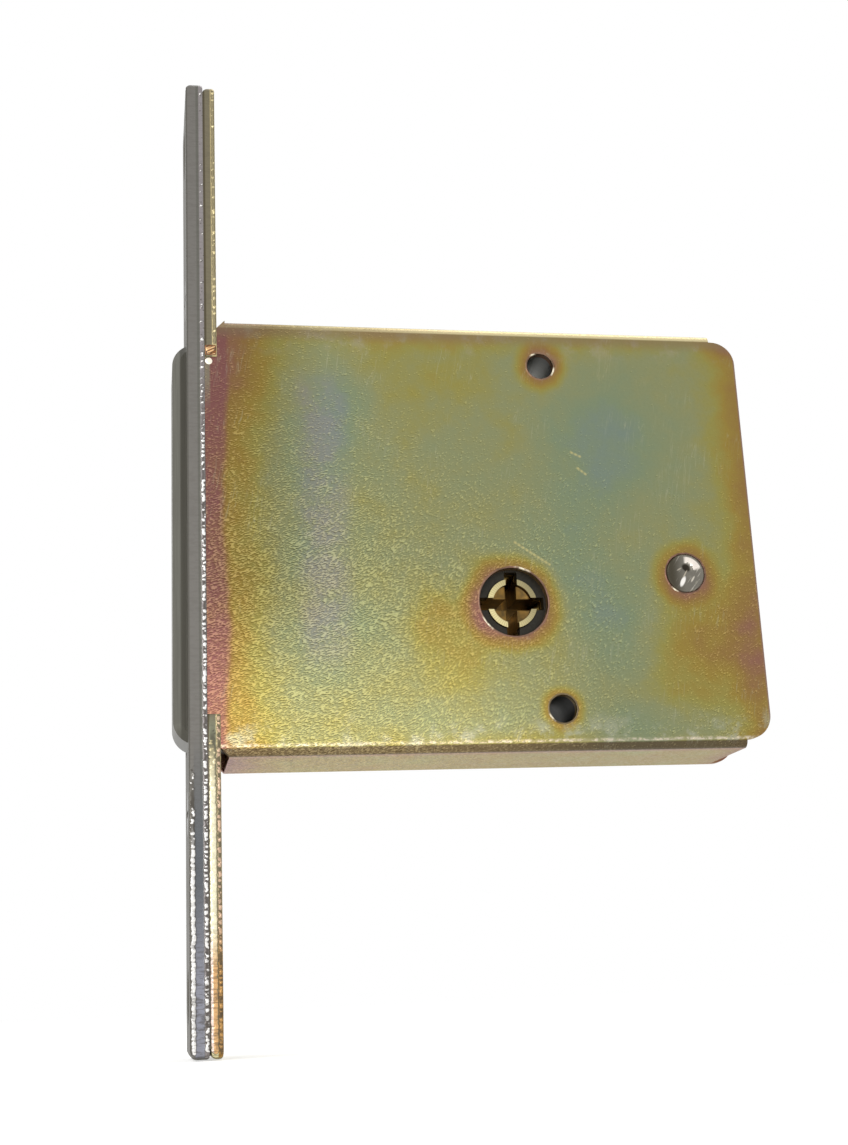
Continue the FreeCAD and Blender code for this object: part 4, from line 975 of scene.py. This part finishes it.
class DEADLOCK_OT_cylinder(bpy.types.Operator):
    """Dress the key cylinder: plug, drill plate, housing, pins and springs"""
    bl_idname = "deadlock.cylinder"
    bl_label = "Cylinder"

    def execute(self, context):
        colours = context.scene.deadlock_colours
        # the plug and the drill plate are small, so their edges are broken less
        shape = node_copy("plug")
        break_edges(shape, 0.07 * MM)
        set_piece("plug_dressed", shape, "cylinder_plug", [turned_brass()], "plug")
        shape = node_copy("drill_plate")
        break_edges(shape, 0.08 * MM)
        # oil blackened hardened steel: nearly black, with a dull sheen
        dark = satin_metal("blackened_drill_plate", colours.hardened, metallic=0.7,
                           roughness=0.42, grain=(0.5, 0.5, 0.5), tone=0.35, depth=0.02)
        set_piece("drill_plate_dressed", shape, "case", [dark], "drill_plate")
        # turned brass: fine rings round the axis
        brass = satin_metal("turned_brass", colours.brass, grain=(3.0, 0.1, 3.0))
        # drawn spring wire: smooth, and bright grey
        springs = satin_metal("spring_wire", linear("#77787a"), roughness=0.25,
                              grain=(0.4, 0.4, 0.4))
        # hardened pinion and screws: dark grey, cut across the axis
        hardened = satin_metal("hardened_pinion_steel", linear("#4a4843"), roughness=0.3,
                               grain=(0.2, 3.0, 0.2))
        turned = ["cylinder_housing", "chamber_caps", "rear_bush"]
        for side, way in PIN_SETS.items():
            turned += ["key_pins_" + side, "driver_pins_" + side]
            self.coil_springs(side, Vector(way), springs)
        for node in turned:
            finish_node(node, brass)
        for node in ("housing_screws", "drive_pinion"):
            finish_node(node, hardened)
        finish_node("retaining_ring", springs)
        return {"FINISHED"}

    def coil_springs(self, side, way, material):
        """Springs of one set of pins, as their own copies of the imported springs."""
        node = "driver_springs_" + side
        piece = set_piece(node + "_coiled", node_copy(node, join_flats=False), "case", [material],
                          node, sharp_angle=50)
        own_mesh(piece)


class DEADLOCK_OT_posts(bpy.types.Operator):
    """Dress the riveted rear post, the side sleeves and the guide posts"""
    bl_idname = "deadlock.posts"
    bl_label = "Posts"

    def execute(self, context):
        # turned bare steel, bright grey
        steel = satin_metal("turned_bright_steel", context.scene.deadlock_colours.steel,
                            grain=(3.0, 0.12, 3.0))
        shape = node_copy("rear_post")
        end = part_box("rear_post")[0][1]
        # the flat end gives way to a beaten one, and the rim within 0.6 mm of it is beaten too
        for face in list(shape.faces):
            y = face.calc_center_median().y
            if face.normal.y < -0.999 and abs(y - end) < 0.01 * MM:
                shape.faces.remove(face)
            elif y < end + 0.6 * MM:
                face.material_index = 1
        self.hammered_end(shape, end)
        set_piece("rear_post_dressed", shape, "case", [steel, hammered_steel()], "rear_post",
                  sharp_angle=50)
        for node in ("guide_posts", "guide_washers", "upper_sleeve"):
            finish_node(node, steel)
        # the lower sleeve is much darker than the upper one
        dark_sleeve = satin_metal("dark_sleeve_steel", linear("#1d1b17"), metallic=0.6, roughness=0.5)
        finish_node("lower_sleeve", dark_sleeve)
        # the cover's screw carries the case's own finish
        finish_node("cover_screw", bpy.data.materials["zinc_yellow_passivate"])
        return {"FINISHED"}

    def hammered_end(self, shape, end):
        """Dished and beaten end of the riveted post."""
        radius = STUB_R - 0.30 * MM

        def place(share, angle):
            """Corner of the beaten face, deepest in its hollow and along its gouge."""
            x = radius * share * math.cos(angle)
            z = radius * share * math.sin(angle)
            beat = noise.noise(Vector((x / (1.1 * MM), 3.0, z / (1.1 * MM))))
            hollow = math.exp(-((x - 0.3 * MM) ** 2 + (z - 1.2 * MM) ** 2) / (0.9 * MM) ** 2)
            gouge = math.exp(-((x * 0.82 - z * 0.57) / (0.28 * MM)) ** 2) if x < 0.4 * MM else 0
            depth = 0.28 + 0.14 * beat + 0.35 * hollow + 0.1 * gouge
            return REAR_POST.x + x, end + (1 - share ** 2) * depth * MM, REAR_POST.z + z

        round_cap(shape, 14, place, material_index=1)


class DEADLOCK_OT_burrs(bpy.types.Operator):
    """Raise the burrs round the punched holes and at the staked tab"""
    bl_idname = "deadlock.burrs"
    bl_label = "Burrs"

    # the holes: piece, material, middle, radius, colour of the dull lip, ways of its painted
    # glints, where these end, how far the burr stands out in mm, and the seed of its unevenness
    HOLES = (
        ("keyhole_burr", "punched_keyhole_lip", KEY_AXIS, KEYHOLE_R, "#8a6a5a",
         ((-0.78, -0.62), (0.30, 0.95)), 0.965, 0.10, 1.3),
        ("upper_hole_burr", "punched_upper_lip", UPPER_HOLE, SIDE_HOLE_R, "#8a6d58",
         ((-0.5, 0.87), (0.9, -0.4)), 0.93, 0.07, 4.1),
        ("lower_hole_burr", "punched_lower_lip", LOWER_HOLE, SIDE_HOLE_R, "#7c6c50",
         ((-0.80, -0.60),), 0.93, 0.08, 7.7),
        ("rear_post_burr", "rivet_seat_lip", REAR_POST, STUB_R, "#8a6758",
         ((-0.60, -0.80),), 0.975, 0.08, 9.2),
    )

    def execute(self, context):
        sizes = context.scene.deadlock_sizes
        # plated lips that the punch pushed up: dull rose, with bright bits painted on as glints
        for name, finish, middle, radius, dull, glint_ways, share, lift, seed in self.HOLES:
            lip = punched_lip(finish, middle, dull, glint_ways, share)
            ring_burr(name, middle, radius, sizes, lip, lift * MM, seed)
        # metal pushed up at the tab's end: coppery zinc, its ridges lightened as painted highlight
        # and ringed by painted shade
        copper = torn_metal("staked_coppery_burr", "#8f5d36", (), "#efc08c", (), sizes.tear_height)
        self.staked_mound("tab_burr", copper, "zinc_yellow", (4.05, 32.4), 1.0, 0.19, 0.8)
        # the struck dent below it, polished, and painted near white as a highlight
        dent_glint = satin_metal("staked_dent_painted_glint", linear("#fff6e4"), roughness=0.25,
                               grain=(0.5, 0.5, 0.5), tone=0.05)
        self.staked_mound("tab_dent", dent_glint, "bright_steel", (3.72, 30.35), 0.62, 0.12, 0.0)
        return {"FINISHED"}

    def staked_mound(self, name, material, slot, middle, half, lift, torn):
        """Small mound beside the tab's upper end, smooth or torn into ridges.

        The middle is x and z; it, the half width and the lift are in mm.
        """
        def place(share, angle):
            """Corner of the mound; torn metal fills the corners of its box, a dent is round."""
            square = max(abs(math.cos(angle)), abs(math.sin(angle))) ** -torn
            x = middle[0] + half * share * math.cos(angle) * square
            z = middle[1] + half * share * math.sin(angle) * square
            ridges = noise.noise(Vector((x / 1.3, 1.0, (z - 0.4 * x) / 0.26))) * 1.7 * torn
            rise = (1 - share ** 4) * min(1.0, max(0.04, 0.9 - 0.35 * torn + ridges))
            if share == 1:
                rise = -0.1
            return x * MM, FACE_Y - lift * rise * MM, z * MM

        shape = bmesh.new()
        round_cap(shape, 12, place)
        bmesh.ops.recalc_face_normals(shape, faces=shape.faces)
        set_piece(name, shape, "case", [material], sharp_angle=60)


class DEADLOCK_OT_stage(bpy.types.Operator):
    """Set the pale floor, the soft lamps, the white surround and the camera"""
    bl_idname = "deadlock.stage"
    bl_label = "Stage"

    def execute(self, context):
        self.floor()
        self.surround(context.scene)
        self.lamps(context.scene)
        self.camera(context.scene)
        context.scene.view_settings.view_transform = "Standard"
        return {"FINISHED"}

    def seen_or_mirrored(self, tree):
        """1 for rays from the camera, off metal or through glass."""
        path = add_node(tree, "LightPath").outputs
        total = path["Is Camera Ray"]
        for ray in ("Is Glossy Ray", "Is Transmission Ray"):
            total = add_node(tree, "Math", {0: total, 1: path[ray]}, operation="MAXIMUM")
        return total

    def floor(self):
        """Square floor, 3.2 m wide, just below the forend's lower end."""
        half = 1.6
        low = CAD_BOX[0][2] - 0.2 * MM
        shape = bmesh.new()
        shape.faces.new([shape.verts.new((x * half, y * half, low))
                         for x, y in ((-1, -1), (1, -1), (1, 1), (-1, 1))])
        mesh = bpy.data.meshes.new("pale_floor")
        shape.to_mesh(mesh)
        shape.free()
        # matt white paint: takes the soft shadow, and is lifted to white where it is seen
        material, tree, _ = new_material("matt_white_floor")
        matt = add_node(tree, "BsdfDiffuse", {"Color": linear("#f4f4f2")})
        lift = add_node(tree, "Math", {0: self.seen_or_mirrored(tree), 1: 0.55},
                        operation="MULTIPLY")
        glow = add_node(tree, "Emission", {"Color": linear("#ffffff"), "Strength": lift})
        both = add_node(tree, "AddShader", {0: matt, 1: glow})
        add_node(tree, "OutputMaterial", {"Surface": both})
        mesh.materials.append(material)
        floor = bpy.data.objects.new("pale_floor", mesh)
        bpy.context.scene.collection.objects.link(floor)

    def surround(self, scene):
        """World that is white where it is seen, and dimmer as a light."""
        world = bpy.data.worlds.new("white_surround")
        world.use_nodes = True
        tree = world.node_tree
        tree.nodes.clear()
        strength = add_node(tree, "MapRange", {
            0: self.seen_or_mirrored(tree), 1: 0.0, 2: 1.0, 3: 0.55, 4: 1.0})
        light = add_node(tree, "Background", {"Color": linear("#ffffff"), "Strength": strength})
        add_node(tree, "OutputWorld", {"Surface": light})
        scene.world = world

    def lamps(self, scene):
        """Round lamps that face the case: name, place, width in metres and power in watts."""
        target = Vector((0.04, FACE_Y, -0.01))
        lamps = (
            ("key_lamp", Vector((-0.30, -0.80, 0.14)), 0.14, 1.0),
            ("left_lamp", Vector((-0.55, -0.45, 0.45)), 0.40, 1.2),
            ("top_lamp", Vector((0.25, 0.10, 0.80)), 0.50, 1.2),
        )
        for name, place, size, power in lamps:
            data = bpy.data.lights.new(name, "AREA")
            data.shape = "DISK"
            data.size = size
            data.energy = power
            lamp = bpy.data.objects.new(name, data)
            scene.collection.objects.link(lamp)
            lamp.location = place
            lamp.rotation_euler = (target - place).to_track_quat("-Z", "Y").to_euler()

    def camera(self, scene):
        """Camera as solved from the case's edges and the centre of the picture."""
        data = bpy.data.cameras.new("camera")
        data.sensor_width = 36.0
        data.lens = 48.98
        data.clip_start = 0.005
        camera = bpy.data.objects.new("camera", data)
        scene.collection.objects.link(camera)
        right = Vector((0.9843, -0.1707, -0.0444))
        forward = Vector((0.1764, 0.9488, 0.2622)).normalized()
        up = right.cross(forward).normalized()
        right = forward.cross(up).normalized()
        turn = Matrix((right, up, -forward)).transposed().to_4x4()
        camera.matrix_world = Matrix.Translation((-0.0070, -0.2608, -0.0766)) @ turn
        scene.camera = camera


class DEADLOCK_PT_panel(bpy.types.Panel):
    """The deadlock's sizes, colours and steps"""
    bl_idname = "DEADLOCK_PT_panel"
    bl_label = "Deadlock"
    bl_space_type = "VIEW_3D"
    bl_region_type = "UI"
    bl_category = "Deadlock"

    def draw(self, context):
        for group in (context.scene.deadlock_sizes, context.scene.deadlock_colours):
            for name in group.__annotations__:
                self.layout.prop(group, name)
        for step in STEPS:
            self.layout.operator(step.bl_idname)


STEPS = (DEADLOCK_OT_case, DEADLOCK_OT_forend, DEADLOCK_OT_bolt, DEADLOCK_OT_cylinder,
         DEADLOCK_OT_posts, DEADLOCK_OT_burrs, DEADLOCK_OT_stage)
CLASSES = (DeadlockSizes, DeadlockColours) + STEPS + (DEADLOCK_PT_panel,)


def register():
    for cls in CLASSES:
        bpy.utils.register_class(cls)
    bpy.types.Scene.deadlock_sizes = PointerProperty(type=DeadlockSizes)
    bpy.types.Scene.deadlock_colours = PointerProperty(type=DeadlockColours)


def unregister():
    del bpy.types.Scene.deadlock_colours
    del bpy.types.Scene.deadlock_sizes
    for cls in reversed(CLASSES):
        bpy.utils.unregister_class(cls)


def main():
    register()
    for step in STEPS:
        group, name = step.bl_idname.split(".")
        getattr(getattr(bpy.ops, group), name)()


if __name__ == "__main__":
    main()
